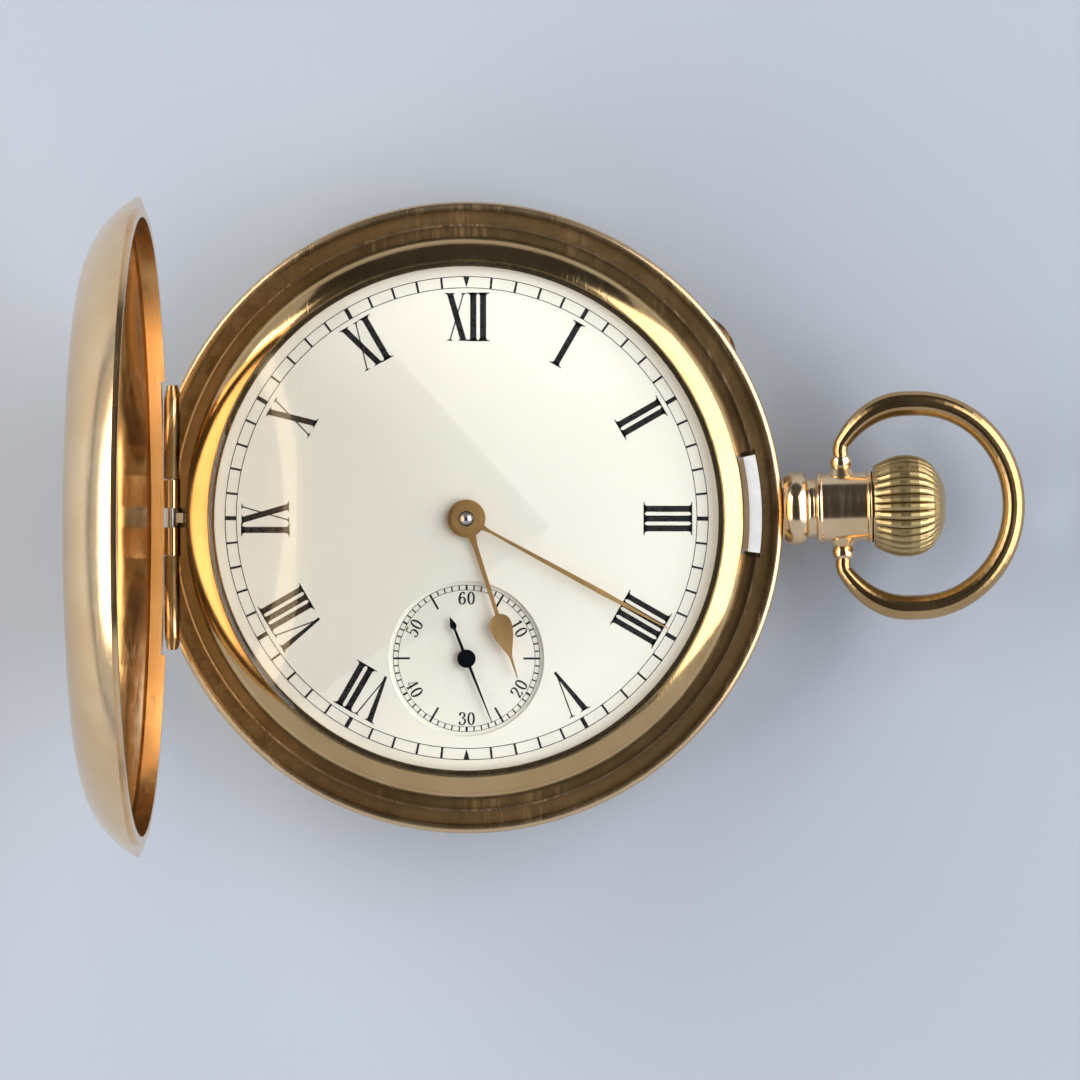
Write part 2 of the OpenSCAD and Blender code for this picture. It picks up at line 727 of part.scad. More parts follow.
module crystal() {
    rebate_z = dial_top + 0.8;
    ball_r = (crystal_r * crystal_r + crystal_rise * crystal_rise) / (2 * crystal_rise);
    color(glass) rotate_extrude($fn = ring_fn) difference() {
        intersection() {
            translate([0, rebate_z + crystal_t + crystal_rise - ball_r])
                circle(r = ball_r, $fn = crown_fn);
            translate([0, rebate_z]) square([crystal_r, case_r]);
        }
        translate([0, rebate_z + crystal_rise - ball_r]) circle(r = ball_r, $fn = crown_fn);
    }
}

module dial() {
    color(enamel) {
        difference() {
            translate([0, 0, plate_top]) cylinder(r = dial_r, h = dial_t, $fn = ring_fn);
            translate([0, 0, plate_top - eps])
                cylinder(r = dial_hole_r, h = dial_t + 1, $fn = part_fn);
            translate([0, -seconds_drop, plate_top - eps])
                cylinder(r = seconds_r, h = dial_t + 1, $fn = ring_fn);
            translate([0, -seconds_drop, plate_top - eps])
                cylinder(r = seconds_r + seconds_step, h = seconds_top - plate_top + eps, $fn = ring_fn);
        }
        for (dir = foot_dirs) {
            rotate([0, 0, dir]) translate([dial_foot_at, 0, plate_top - dial_foot_l])
                cylinder(r = dial_foot_r, h = dial_foot_l + eps, $fn = part_fn);
        }
    }
}

module seconds_dial() {
    color(enamel) translate([0, -seconds_drop, plate_top]) difference() {
        cylinder(r = seconds_r + seconds_step - 0.03, h = seconds_top - plate_top, $fn = ring_fn);
        translate([0, 0, -eps]) cylinder(r = 0.4, h = dial_t, $fn = part_fn);
    }
}

hour_hand_z = dial_top + 0.32;
minute_hand_z = hour_hand_z + 0.36;
second_hand_z = dial_top + 0.02;

module pointer(angle) {
    rotate([0, 0, 90 - angle]) children();
}

// One flank of the spade, from its widest part to the fine tip
function spade_side(spade_at, spade_l, side) = [for (p = [[0.08, 0.995], [0.36, 0.84], [0.64, 0.53],
    [0.84, 0.27], [1, 0.13]]) [spade_at + spade_l * p[0], side * spade_r * p[1]]];

// Thin shaft, solid drop shaped spade and fine tip
module hour_hand() {
    spade_at = hour_len * 0.67;
    spade_l = hour_len * 0.2;
    neck_at = spade_at - spade_r + 0.1;
    tip_at = spade_at + spade_l;
    color(hand_gold) translate([0, 0, hour_hand_z]) pointer(hour_angle) {
        difference() {
            union() {
                linear_extrude(hand_t) {
                    polygon([[1, -0.42], [2.4, -0.2], [neck_at, -0.16], [neck_at, 0.16],
                        [2.4, 0.2], [1, 0.42]]);
                    translate([spade_at, 0]) circle(r = spade_r, $fn = part_fn);
                    polygon(concat([[spade_at, 0]], spade_side(spade_at, spade_l, -1),
                        [[hour_len, -0.04], [hour_len, 0.04]],
                        [for (i = [4 : -1 : 0]) spade_side(spade_at, spade_l, 1)[i]]));
                }
                translate([0, 0, -0.1]) cylinder(r = hour_boss_r, h = hand_t + 0.18, $fn = part_fn);
            }
            translate([0, 0, -0.5]) cylinder(r = pipe_out_r + 0.01, h = 1, $fn = part_fn);
        }
    }
}

// Long leaf that widens two thirds of the way out
module minute_hand() {
    wide_at = minute_len * 0.66;
    color(hand_gold) translate([0, 0, minute_hand_z]) pointer(minute_angle) difference() {
        union() {
            linear_extrude(hand_t) {
                polygon([[0.9, -0.32], [2.2, -0.12], [wide_at, -0.22], [minute_len, -0.04],
                    [minute_len, 0.04], [wide_at, 0.22], [2.2, 0.12], [0.9, 0.32]]);
            }
            translate([0, 0, -0.08]) cylinder(r = 1.22, h = hand_t + 0.22, $fn = part_fn);
        }
        translate([0, 0, -0.5]) cylinder(r = cannon_pipe_r - 0.19, h = 1.5, $fn = part_fn);
    }
}

module seconds_hand() {
    drop_at = second_tail - 1.1;
    color(blued) translate([0, -seconds_drop, second_hand_z]) pointer(second_angle) difference() {
        union() {
            linear_extrude(hand_t) {
                polygon([[0.4, -0.13], [second_len, -0.035], [second_len, 0.035], [0.4, 0.13]]);
                polygon([[-0.4, -0.13], [-0.4, 0.13], [-drop_at, 0.1], [-drop_at - 0.4, 0.27],
                    [-second_tail, 0.02], [-second_tail, -0.02], [-drop_at - 0.4, -0.27],
                    [-drop_at, -0.1]]);
                translate([-drop_at - 0.32, 0]) circle(r = 0.27, $fn = part_fn);
            }
            translate([0, 0, -0.2]) cylinder(r = 0.75, h = hand_t + 0.24, $fn = part_fn);
        }
        translate([0, 0, -0.5]) cylinder(r = pivot_r + 0.01, h = 0.6, $fn = part_fn);
    }
}

// Turned pendant: bead, neck groove and barrel, with two sockets for the bow
module pendant() {
    foot_x = case_r - 0.6;
    end_x = case_r + pendant_l;
    bead_x = case_r + 1.1;
    neck_x = case_r + bead_l + 0.35;
    color(gold) on_pendant() difference() {
        union() {
            difference() {
                turned_on_x(part_fn * 2) pendant_profile(foot_x, end_x, bead_x, neck_x);
                translate([0, 0, -axis_z]) cylinder(r = case_r + 0.02, h = 3 * axis_z, $fn = ring_fn);
            }
            translate([groove_in_r + 0.15, 0, 0]) turned_on_x()
                square([stub_r, foot_x - groove_in_r + 1]);
            for (side = [-1, 1]) {
                translate([case_r + ear_at, 0, 0]) rotate([-90 * side, 0, 0]) {
                    translate([0, 0, barrel_neck_r - 0.6])
                        cylinder(r1 = 1.75 * ear_r, r2 = 0.8 * ear_r,
                            h = ear_reach - barrel_neck_r - 0.3, $fn = part_fn);
                    intersection() {
                        translate([0, 0, ear_reach - ear_r / 2]) sphere(r = ear_r, $fn = part_fn);
                        cylinder(r = 3, h = ear_reach, $fn = part_fn);
                    }
                }
            }
        }
        turned_on_x() square([stem_r + 0.15, 2 * case_r]);
        translate([case_r + 1.2, 0, 0]) turned_on_x() square([sleeve_r, case_r]);
        translate([case_r + ear_at, 0, 0]) for (side = [-1, 1]) {
            rotate([-90 * side, 0, 0]) translate([0, 0, sleeve_r + 0.5])
                cylinder(r = bow_pivot_r + run, h = ear_reach, $fn = part_fn);
        }
    }
}

// Half section of the pendant, its axis along y
module pendant_profile(foot_x, end_x, bead_x, neck_x) {
    difference() {
        union() {
            translate([0, foot_x]) square([neck_r, end_x - foot_x]);
            translate([bead_r - 1.15, bead_x]) circle(r = 1.15, $fn = part_fn);
            translate([0, bead_x - 1.15]) square([bead_r - 1.15, 2.3]);
            translate([0, neck_x + 0.3]) square([barrel_neck_r, end_x - neck_x - 0.3]);
            translate([barrel_neck_r - 0.2, neck_x + 0.55]) circle(r = 0.32, $fn = part_fn);
            translate([barrel_neck_r - 0.1, end_x - 0.45]) circle(r = 0.28, $fn = part_fn);
        }
        translate([neck_r + 0.45, neck_x - 0.1]) circle(r = 0.5, $fn = part_fn);
    }
}

module pendant_sleeve() {
    color(steel) on_pendant() translate([case_r + 1.25, 0, 0]) difference() {
        turned_on_x() square([sleeve_r - 0.01, pendant_l - 1.6]);
        turned_on_x() square([stem_r + 0.2, 2 * pendant_l]);
        translate([2, -0.12, -3]) cube([pendant_l, 0.24, 6]);
    }
}

// Onion crown: rows of points round the axis, scalloped into rounded flutes
crown_x0 = case_r + pendant_l - 0.1;
crown_steps = [0, 0.03, 0.1, 0.22, 0.36, 0.5, 0.63, 0.74, 0.83, 0.91, 0.96, 1];
flute_steps = [0, 0.06, 0.2, 0.5, 0.8, 0.94];

function crown_radius(s) =
    s < 0.42 ? crown_base_r + (crown_r - crown_base_r) * sin(90 * s / 0.42)
    : crown_r * sqrt(max(0, 1 - pow((s - 0.42) / 0.6, 2.6)));
function crown_scallop(s) = flute_depth * min(1, s / 0.12, max(0, (0.9 - s) / 0.2));
function crown_row(s) = [for (i = [0 : flutes - 1], f = flute_steps)
    let (a = 360 * (i + f) / flutes, r = crown_radius(s) - crown_scallop(s) * (1 - sqrt(sin(180 * f))))
    [crown_l * s, r * cos(a), r * sin(a)]];

module crown() {
    around = flutes * len(flute_steps);
    rows = len(crown_steps);
    points = [for (s = crown_steps) each crown_row(s)];
    sides = [for (j = [0 : rows - 2], i = [0 : around - 1])
        let (k = (i + 1) % around)
        each [[j * around + i, j * around + k, (j + 1) * around + k],
            [j * around + i, (j + 1) * around + k, (j + 1) * around + i]]];
    ends = [[for (i = [0 : around - 1]) around - 1 - i], [for (i = [0 : around - 1]) (rows - 1) * around + i]];
    color(gold) on_pendant() translate([crown_x0, 0, 0]) difference() {
        polyhedron(points, concat(sides, ends));
        translate([-1, 0, 0]) turned_on_x() square([barrel_neck_r + 0.25, 1 + press_travel + 0.25]);
        translate([-1, 0, 0]) turned_on_x() square([stem_r + 0.01, crown_l - 1.2]);
    }
}

stem_in_x = crown_wheel_at + contrate_r() - 0.4;
pinion_t = 0.8;
square_half = 0.3;

function contrate_r() = 2 * winding_r;

// Square inner end, round shank with two click grooves for the sleeve
module stem() {
    shank_x = plate_r + 0.3;
    color(steel) on_pendant() {
        translate([stem_in_x - 0.1, -square_half, -square_half])
            cube([shank_x + 0.3 - stem_in_x, 2 * square_half, 2 * square_half]);
        translate([shank_x, 0, 0]) turned_on_x() difference() {
            square([stem_r, crown_x0 + crown_l - 2.4 - shank_x]);
            for (pulled = [0, pull_travel]) {
                translate([stem_r - 0.08, case_r + 4 - pulled - shank_x]) square([1, 0.3]);
            }
        }
    }
}

// Points along the bow's wire from socket to socket, each with its radius
bow_start = 38;
bow_steps = 12;
bow_half_path = concat(
    [[ear_at, ear_reach + 0.12, bow_end_r], [ear_at - 0.04, ear_reach + 0.55, bow_end_r]],
    [for (i = [0 : bow_steps]) let (t = bow_start + (90 - bow_start) * i / bow_steps)
        [bow_at - bow_near * cos(t), bow_half * sin(t),
            bow_end_r + (bow_wire_r - bow_end_r) * sin(90 * i / bow_steps)]],
    [for (i = [0 : 15]) let (t = 90 + 90 * i / 16)
        [bow_at + bow_flat - bow_far * cos(t), bow_half * sin(t),
            bow_wire_r + (bow_wire_r - bow_far_r) * cos(t)]]);
bow_path = concat(bow_half_path, [[bow_at + bow_flat + bow_far, 0, bow_far_r]],
    [for (i = [len(bow_half_path) - 1 : -1 : 0]) let (p = bow_half_path[i]) [p[0], -p[1], p[2]]]);

function bow_heading(i) = i == 0 || i == len(bow_path) - 1 ? [0, 1]
    : [bow_path[i + 1][0] - bow_path[i - 1][0], bow_path[i + 1][1] - bow_path[i - 1][1]];

module bow() {
    count = len(bow_path);
    sides = 24;
    points = [for (i = [0 : count - 1], k = [0 : sides - 1])
        let (p = bow_path[i], h = bow_heading(i) / norm(bow_heading(i)), a = 360 * k / sides)
        [p[0] - h[1] * p[2] * cos(a), p[1] + h[0] * p[2] * cos(a), p[2] * sin(a)]];
    skin = [for (i = [0 : count - 2], k = [0 : sides - 1])
        let (n = (k + 1) % sides)
        each [[i * sides + k, (i + 1) * sides + n, i * sides + n],
            [i * sides + k, (i + 1) * sides + k, (i + 1) * sides + n]]];
    caps = [[for (k = [0 : sides - 1]) k],
        [for (k = [0 : sides - 1]) (count - 1) * sides + sides - 1 - k]];
    color(gold) on_pendant() translate([case_r, 0, 0]) {
        polyhedron(points, concat(skin, caps));
        for (side = [-1, 1]) {
            translate([ear_at, 0, 0]) rotate([-90 * side, 0, 0])
                translate([0, 0, sleeve_r + 0.55])
                    cylinder(r = bow_pivot_r, h = ear_reach - sleeve_r - 0.4, $fn = part_fn);
        }
    }
}

// Flat outline of a gear, its teeth ogival in six points each
module gear_outline(teeth, pitch, turn = 0, add = 1.05, ded = 1.35) {
    r = teeth * pitch / 2;
    step = 360 / teeth;
    flank = [[r - ded * pitch, -0.32], [r, -0.225], [r + add * pitch, -0.08],
        [r + add * pitch, 0.08], [r, 0.225], [r - ded * pitch, 0.32]];
    polygon([for (i = [0 : teeth - 1], p = flank)
        let (a = turn + (i + p[1]) * step) p[0] * [cos(a), sin(a)]]);
}

// Train wheel with a rim, spokes and a hub
module wheel(teeth, pitch, thick, turn = 0, spokes = 5, hub = 0.9, rim = 0.75) {
    r = teeth * pitch / 2;
    linear_extrude(thick) difference() {
        gear_outline(teeth, pitch, turn);
        difference() {
            circle(r = r - rim, $fn = ring_fn);
            circle(r = hub, $fn = part_fn);
            for (i = [0 : spokes - 1]) {
                rotate(turn + 360 * i / spokes) translate([0, -0.2]) square([r, 0.4]);
            }
        }
    }
}

module pinion(teeth, pitch, thick, turn = 0) {
    linear_extrude(thick) gear_outline(teeth, pitch, turn, 0.85, 1.3);
}

// Arbor between two jewels, thick in the middle, thin at its pivots
module arbor(low, high, thick_r) {
    shoulder = jewel_t + 0.06;
    translate([0, 0, low]) cylinder(r = pivot_r, h = high - low, $fn = part_fn);
    translate([0, 0, low + shoulder]) cylinder(r = thick_r, h = high - low - 2 * shoulder, $fn = part_fn);
}

center_arbor_r = 0.45;
jewel_t = 0.42;
low_jewel_z = plate_back + 0.12;
high_jewel_z = bridge_front - jewel_t - 0.12;

module at(place) {
    translate([place[0], place[1], 0]) children();
}

center_turn = 0;
third_pinion_turn = mesh_turn(toward([0, 0], third_at), center_teeth, center_turn, leaves);
third_turn = 0;
fourth_pinion_turn = mesh_turn(toward(third_at, fourth_at), third_teeth, third_turn, leaves);
fourth_turn = 0;
escape_pinion_turn = mesh_turn(toward(fourth_at, escape_at), fourth_teeth, fourth_turn, escape_leaves);
center_pinion_turn = mesh_turn(barrel_dir + 180, barrel_teeth, 0, center_leaves);
minute_wheel_turn = mesh_turn(toward([0, 0], minute_wheel_at), cannon_leaves, 0, minute_teeth);
hour_turn = mesh_turn(toward(minute_wheel_at, [0, 0]), minute_leaves, 0, hour_teeth);
ratchet_turn = mesh_turn(toward(crown_wheel_pos, barrel_at), crown_teeth, 0, ratchet_teeth);

module center_wheel() {
    color(brass) {
        translate([0, 0, center_z]) wheel(center_teeth, center_module, wheel_t, center_turn, 5, 1.1);
        translate([0, 0, barrel_z - 0.17])
            pinion(center_leaves, barrel_module, barrel_tooth_t + 0.35, center_pinion_turn);
        translate([0, 0, bridge_front - jewel_t]) cylinder(r = 0.3, h = 1, $fn = part_fn);
        translate([0, 0, center_z - 0.05]) cylinder(r = 0.6, h = plate_back - center_z, $fn = part_fn);
        translate([0, 0, center_z]) cylinder(r = center_arbor_r, h = minute_hand_z - center_z,
            $fn = part_fn);
    }
}

// Tube with leaves over the centre arbor that carries the minute hand
module cannon_pinion() {
    top = minute_hand_z + 0.3;
    color(steel) difference() {
        union() {
            translate([0, 0, cannon_z]) pinion(cannon_leaves, cannon_module, 0.4);
            translate([0, 0, cannon_z]) cylinder(r = cannon_pipe_r, h = minute_hand_z - cannon_z - 0.1,
                $fn = part_fn);
            translate([0, 0, cannon_z]) cylinder(r = cannon_pipe_r - 0.2, h = top - cannon_z - 0.1,
                $fn = part_fn);
            translate([0, 0, top - 0.35]) sphere(r = 0.6, $fn = part_fn);
        }
        translate([0, 0, cannon_z - eps])
            cylinder(r = center_arbor_r + 0.01, h = minute_hand_z - cannon_z + 0.02, $fn = part_fn);
    }
}

module hour_wheel() {
    color(brass) difference() {
        union() {
            translate([0, 0, hour_wheel_z]) linear_extrude(wheel_t)
                gear_outline(hour_teeth, hour_module, hour_turn);
            translate([0, 0, hour_wheel_z]) cylinder(r = pipe_out_r,
                h = hour_hand_z + hand_t - hour_wheel_z, $fn = part_fn);
        }
        translate([0, 0, cannon_z]) cylinder(r = pipe_in_r, h = case_r, $fn = part_fn);
    }
}

module minute_wheel() {
    color(brass) at(minute_wheel_at) difference() {
        union() {
            translate([0, 0, cannon_z + 0.08]) linear_extrude(wheel_t)
                gear_outline(minute_teeth, cannon_module, minute_wheel_turn);
            translate([0, 0, cannon_z + 0.08]) pinion(minute_leaves, hour_module, 0.78);
        }
        translate([0, 0, cannon_z - 1]) cylinder(r = 0.3 + run, h = 3, $fn = part_fn);
    }
}

module third_wheel() {
    color(brass) at(third_at) {
        translate([0, 0, third_z]) wheel(third_teeth, third_module, wheel_t, third_turn);
        translate([0, 0, center_z - 0.06]) pinion(leaves, center_module, wheel_t + 0.2, third_pinion_turn);
        arbor(high_jewel_z, low_jewel_z + jewel_t, 0.42);
    }
}

module fourth_wheel() {
    color(brass) at(fourth_at) {
        translate([0, 0, fourth_z]) wheel(fourth_teeth, fourth_module, wheel_t, fourth_turn);
        translate([0, 0, third_z - 0.12]) pinion(leaves, third_module, 0.55, fourth_pinion_turn);
        arbor(high_jewel_z, low_jewel_z + jewel_t, 0.42);
        translate([0, 0, low_jewel_z]) cylinder(r = pivot_r, h = second_hand_z - low_jewel_z - 0.02,
            $fn = part_fn);
    }
}

// Club toothed wheel: each tooth leans forward to a slanted foot
module escape_wheel() {
    step = 360 / escape_teeth;
    rim = escape_r * 0.72;
    tooth = [[rim, -0.3], [escape_r * 0.97, 0.05], [escape_r, 0.22], [escape_r * 0.95, 0.3],
        [rim * 1.04, 0.12]];
    color(steel) at(escape_at) {
        translate([0, 0, escape_z]) linear_extrude(wheel_t) difference() {
            polygon([for (i = [0 : escape_teeth - 1], p = tooth)
                let (a = (i + p[1]) * step) p[0] * [cos(a), sin(a)]]);
            difference() {
                circle(r = rim - 0.3, $fn = part_fn);
                circle(r = 0.6, $fn = part_fn);
                for (i = [0 : 3]) rotate(90 * i) translate([0, -0.14]) square([rim, 0.28]);
            }
        }
        translate([0, 0, fourth_z - 0.12]) pinion(escape_leaves, fourth_module, 0.5, escape_pinion_turn);
        arbor(high_jewel_z, low_jewel_z + jewel_t, 0.32);
    }
}

fork_len = norm(balance_at - pallet_at);
stone_dir = 62;
stone_at = 2.25;

// Lever: two pallet arms over the escape wheel and a fork toward the balance
module pallet_fork() {
    notch_x = fork_len - 2.7;
    color(steel) at(pallet_at) {
        rotate([0, 0, pallet_dir]) translate([0, 0, escape_z]) linear_extrude(wheel_t) {
            difference() {
                union() {
                    polygon([[-0.3, -0.4], [notch_x - 0.2, -0.18], [notch_x - 0.2, 0.18], [-0.3, 0.4]]);
                    translate([notch_x - 0.05, 0]) circle(r = 0.5, $fn = part_fn);
                    for (side = [-1, 1]) {
                        rotate(180 + side * stone_dir) translate([0, -0.27]) square([stone_at, 0.54]);
                    }
                    circle(r = 0.6, $fn = part_fn);
                }
                translate([notch_x, -0.17]) square([1, 0.34]);
            }
        }
        arbor(pallet_bridge_z() + pallet_bridge_t - jewel_t, low_jewel_z + jewel_t, 0.28);
    }
}

pallet_bridge_t = 0.62;
function pallet_bridge_z() = bridge_front + 0.15;

module pallet_stones() {
    color(ruby) at(pallet_at) rotate([0, 0, pallet_dir]) for (side = [-1, 1]) {
        rotate([0, 0, 180 + side * stone_dir]) translate([stone_at, -0.25, escape_z - 0.05])
            cube([0.3, 0.5, wheel_t + 0.1]);
    }
}

module balance_wheel() {
    screw_l = 0.42;
    color(brass) at(balance_at) {
        translate([0, 0, balance_z]) {
            linear_extrude(balance_h) difference() {
                circle(r = balance_r, $fn = ring_fn);
                circle(r = balance_r - balance_rim_w, $fn = ring_fn);
                for (side = [0, 180]) rotate(side + 9) translate([balance_r - 1, -0.08]) square([2, 0.16]);
            }
            linear_extrude(0.26) difference() {
                union() {
                    square([2 * balance_r - 0.4, 0.8], center = true);
                    circle(r = 1.1, $fn = part_fn);
                }
                circle(r = 0.36, $fn = part_fn);
            }
            for (i = [0 : balance_screws - 1]) {
                rotate([0, 0, 360 * (i + 0.5) / balance_screws]) translate([balance_r - 0.05, 0, balance_h / 2])
                    turned_on_x(24) square([0.27, screw_l]);
            }
        }
    }
}

module balance_staff() {
    color(steel) at(balance_at) {
        arbor(cock_z + 0.12, low_jewel_z + jewel_t, 0.35);
        translate([0, 0, balance_z + 0.26]) cylinder(r = 0.75, h = 0.3, $fn = part_fn);
        translate([0, 0, cock_z + cock_t + 0.06]) cylinder(r = 0.6, h = 0.22, $fn = part_fn);
    }
}

module roller() {
    roller_z = escape_z - 0.42;
    color(steel) at(balance_at) difference() {
        union() {
            translate([0, 0, roller_z]) cylinder(r = 1.9, h = 0.25, $fn = part_fn);
            rotate([0, 0, pallet_dir + 180]) translate([1.5, 0, roller_z])
                cylinder(r = 0.13, h = 0.75, $fn = part_fn);
        }
        translate([0, 0, roller_z - eps]) cylinder(r = 0.35, h = 1, $fn = part_fn);
    }
}

// Flat spiral strip between two radii, as one outline
module spiral(in_r, out_r, turns, strip, steps) {
    count = turns * steps;
    function place(i, side) = let (a = 360 * i / steps, r = in_r + (out_r - in_r) * i / count + side)
        r * [cos(a), sin(a)];
    polygon(concat([for (i = [0 : count]) place(i, -strip / 2)],
        [for (i = [0 : count]) place(count - i, strip / 2)]));
}

module hairspring() {
    color(blued) at(balance_at) translate([0, 0, cock_z + cock_t + 0.1])
        rotate([0, 0, stud_dir]) linear_extrude(0.16)
            spiral(0.66, hairspring_r, hairspring_turns, 0.08, 24);
}

module hairspring_stud() {
    color(steel) at(balance_at) rotate([0, 0, stud_dir])
        translate([hairspring_r + 0.06, -0.3, cock_z + cock_t]) cube([0.5, 0.6, 0.3]);
}

// Ring and pointer round the upper balance jewel
module regulator() {
    ring_r = 2;
    tip = 6.9;
    color(steel) at(balance_at) translate([0, 0, cock_z - 0.2]) linear_extrude(0.17) difference() {
        union() {
            circle(r = ring_r, $fn = part_fn);
            rotate(98) polygon([[1, -0.4], [tip - 0.3, -0.1], [tip, 0], [tip - 0.3, 0.1], [1, 0.4]]);
            rotate(-82) translate([0, -0.5]) square([ring_r + 0.9, 1]);
        }
        circle(r = 1.25, $fn = part_fn);
    }
}

module mainspring() {
    color(steel) at(barrel_at) translate([0, 0, barrel_z + 0.38])
        linear_extrude(drum_top - barrel_z - 0.75)
            spiral(arbor_core_r + 0.13, drum_r - 0.52, mainspring_turns, 0.2, 20);
}

arbor_core_r = 2.6;
arbor_pivot_r = 0.9;

module barrel() {
    color(brass) at(barrel_at) difference() {
        union() {
            translate([0, 0, barrel_z]) linear_extrude(barrel_tooth_t)
                gear_outline(barrel_teeth, barrel_module, 0);
            translate([0, 0, barrel_z]) cylinder(r = drum_r, h = drum_top - barrel_z, $fn = ring_fn);
        }
        translate([0, 0, barrel_z + 0.3]) cylinder(r = drum_r - 0.4, h = 9, $fn = ring_fn);
        translate([0, 0, barrel_z - 1]) cylinder(r = arbor_pivot_r + run, h = 3, $fn = part_fn);
    }
}

module barrel_cover() {
    color(brass) at(barrel_at) translate([0, 0, drum_top - 0.3]) difference() {
        cylinder(r = drum_r - 0.41, h = 0.3, $fn = ring_fn);
        translate([0, 0, -1]) cylinder(r = arbor_pivot_r + run, h = 3, $fn = part_fn);
    }
}

module barrel_arbor() {
    core_z = barrel_z + 0.34;
    color(steel) at(barrel_at) {
        translate([0, 0, core_z]) cylinder(r = arbor_core_r, h = drum_top - 0.34 - core_z, $fn = part_fn);
        translate([0, 0, bridge_back - 0.04]) cylinder(r = arbor_pivot_r, h = drum_top + 0.9 - bridge_back,
            $fn = part_fn);
        translate([-0.6, -0.6, wheel_z - 0.06]) cube([1.2, 1.2, bridge_back - wheel_z + 0.1]);
    }
}

module ratchet_wheel() {
    color(steel) at(barrel_at) translate([0, 0, wheel_z]) linear_extrude(winding_t) difference() {
        gear_outline(ratchet_teeth, winding_module, ratchet_turn);
        square(1.22, center = true);
    }
}

// Spur wheel over the bridge and face gear under it on one arbor
module crown_wheel() {
    face_teeth = 2 * winding_teeth;
    face_z = axis_z - winding_r;
    color(steel) at(crown_wheel_pos) {
        translate([0, 0, wheel_z]) linear_extrude(winding_t)
            gear_outline(crown_teeth, winding_module, 0);
        translate([0, 0, wheel_z]) cylinder(r = 1.2, h = face_z - wheel_z - 0.6, $fn = part_fn);
        translate([0, 0, face_z - 0.95]) cylinder(r = contrate_r() + 0.3, h = 0.72, $fn = ring_fn);
        for (i = [0 : face_teeth - 1]) {
            rotate([0, 0, pendant_turn + 360 * i / face_teeth])
                translate([contrate_r() - 0.3, -0.075, face_z - 0.25]) cube([0.58, 0.15, 0.36]);
        }
    }
}

module winding_pinion() {
    step = 360 / winding_teeth;
    color(steel) on_pendant() translate([crown_wheel_at + contrate_r() - pinion_t / 2, 0, 0])
        rotate([0, 90, 0]) linear_extrude(pinion_t) difference() {
            polygon([for (i = [0 : winding_teeth - 1], p = [[0.82, -0.34], [1.18, -0.12],
                [1.18, 0.12], [0.82, 0.34]])
                let (a = (i + 0.5 + p[1]) * step) winding_r * p[0] * [cos(a), sin(a)]]);
            square(2 * square_half + 0.06, center = true);
        }
}

module click() {
    beak = toward(click_at, barrel_at);
    color(steel) at(click_at) translate([0, 0, wheel_z]) linear_extrude(winding_t) difference() {
        union() {
            circle(r = 0.95, $fn = part_fn);
            rotate(beak - 62)
                polygon([[0, -0.5], [1.3, -0.3], [1.85, 0.78], [1.6, 0.8], [0.8, 0.6], [0, 0.95]]);
        }
        circle(r = 0.42, $fn = part_fn);
    }
}

module click_spring() {
    color(steel) at(click_at) translate([0, 0, wheel_z + 0.04]) {
        translate([-1.12, -3.2, 0]) cylinder(r = 0.7, h = bridge_back - wheel_z - 0.04, $fn = part_fn);
        translate([-1.27, -3, 0]) cube([0.3, 3.3, winding_t - 0.04]);
    }
}

// Line that divides the bridges, which ends past their edge
past = bridge_r + 0.8;
split = [[-3, 2], [4.4, 2], [10.4, -5.2]];
split_end = -8.4;

module bridge_area() {
    polygon(concat([[-5, past], [-5, 3.2]], split, [[past, split_end], [past, past]]));
}

module bridge_holes(places, hole_r) {
    for (p = places) {
        translate([p[0], p[1], bridge_back - 1])
            cylinder(r = hole_r, h = bridge_t + 2, $fn = part_fn);
    }
}

module barrel_bridge() {
    color(nickel) difference() {
        translate([0, 0, bridge_back]) linear_extrude(bridge_t) difference() {
            intersection() {
                circle(r = bridge_r, $fn = ring_fn);
                bridge_area();
            }
            balance_space();
        }
        bridge_holes([barrel_at], arbor_pivot_r + run);
        bridge_holes([crown_wheel_pos], 1.2 + run);
        bridge_holes(bridge_pillars, 0.45);
    }
    color(nickel) at(click_at) translate([0, 0, wheel_z - 0.1])
        cylinder(r = 0.39, h = bridge_back - wheel_z + 0.2, $fn = part_fn);
}

// Round cut in the bridges that keeps them clear of the balance and its screws
module balance_space() {
    at(balance_at) circle(r = balance_r + 1.1, $fn = ring_fn);
}

module train_bridge() {
    color(nickel) difference() {
        translate([0, 0, bridge_back]) linear_extrude(bridge_t) difference() {
            circle(r = bridge_r, $fn = ring_fn);
            polygon(concat([[-past, past], [-past, 1.2]],
                [for (p = split) p - [p[0] > 0 ? bridge_gap / 2 : 0, bridge_gap]],
                [[past, split_end - bridge_gap], [past, past]]));
            balance_space();
            polygon([[-past, 2], [-past, -9], [-12, -9], [-9.2, -3], [-9.2, 2]]);
        }
        bridge_holes(train_pillars, 0.45);
        bridge_holes([[0, 0], third_at, fourth_at, escape_at], jewel_r);
    }
}

module pallet_bridge() {
    z = pallet_bridge_z();
    dir = toward(pallet_foot, pallet_at);
    wide = 1.6;
    color(nickel) difference() {
        union() {
            at(pallet_at) translate([0, 0, z]) cylinder(r = 0.75 * wide, h = pallet_bridge_t, $fn = part_fn);
            at(pallet_foot) rotate([0, 0, dir]) translate([0.6, -wide / 2, z])
                cube([norm(pallet_at - pallet_foot) - 1.38, wide, pallet_bridge_t]);
            at(pallet_foot) translate([0, 0, z]) cylinder(r = pallet_foot_r, h = plate_back - z, $fn = part_fn);
        }
        at(pallet_at) translate([0, 0, z - 1]) cylinder(r = jewel_r, h = pallet_bridge_t + 2, $fn = part_fn);
        at(pallet_foot) translate([0, 0, z - 1]) cylinder(r = 0.45, h = 6, $fn = part_fn);
    }
}

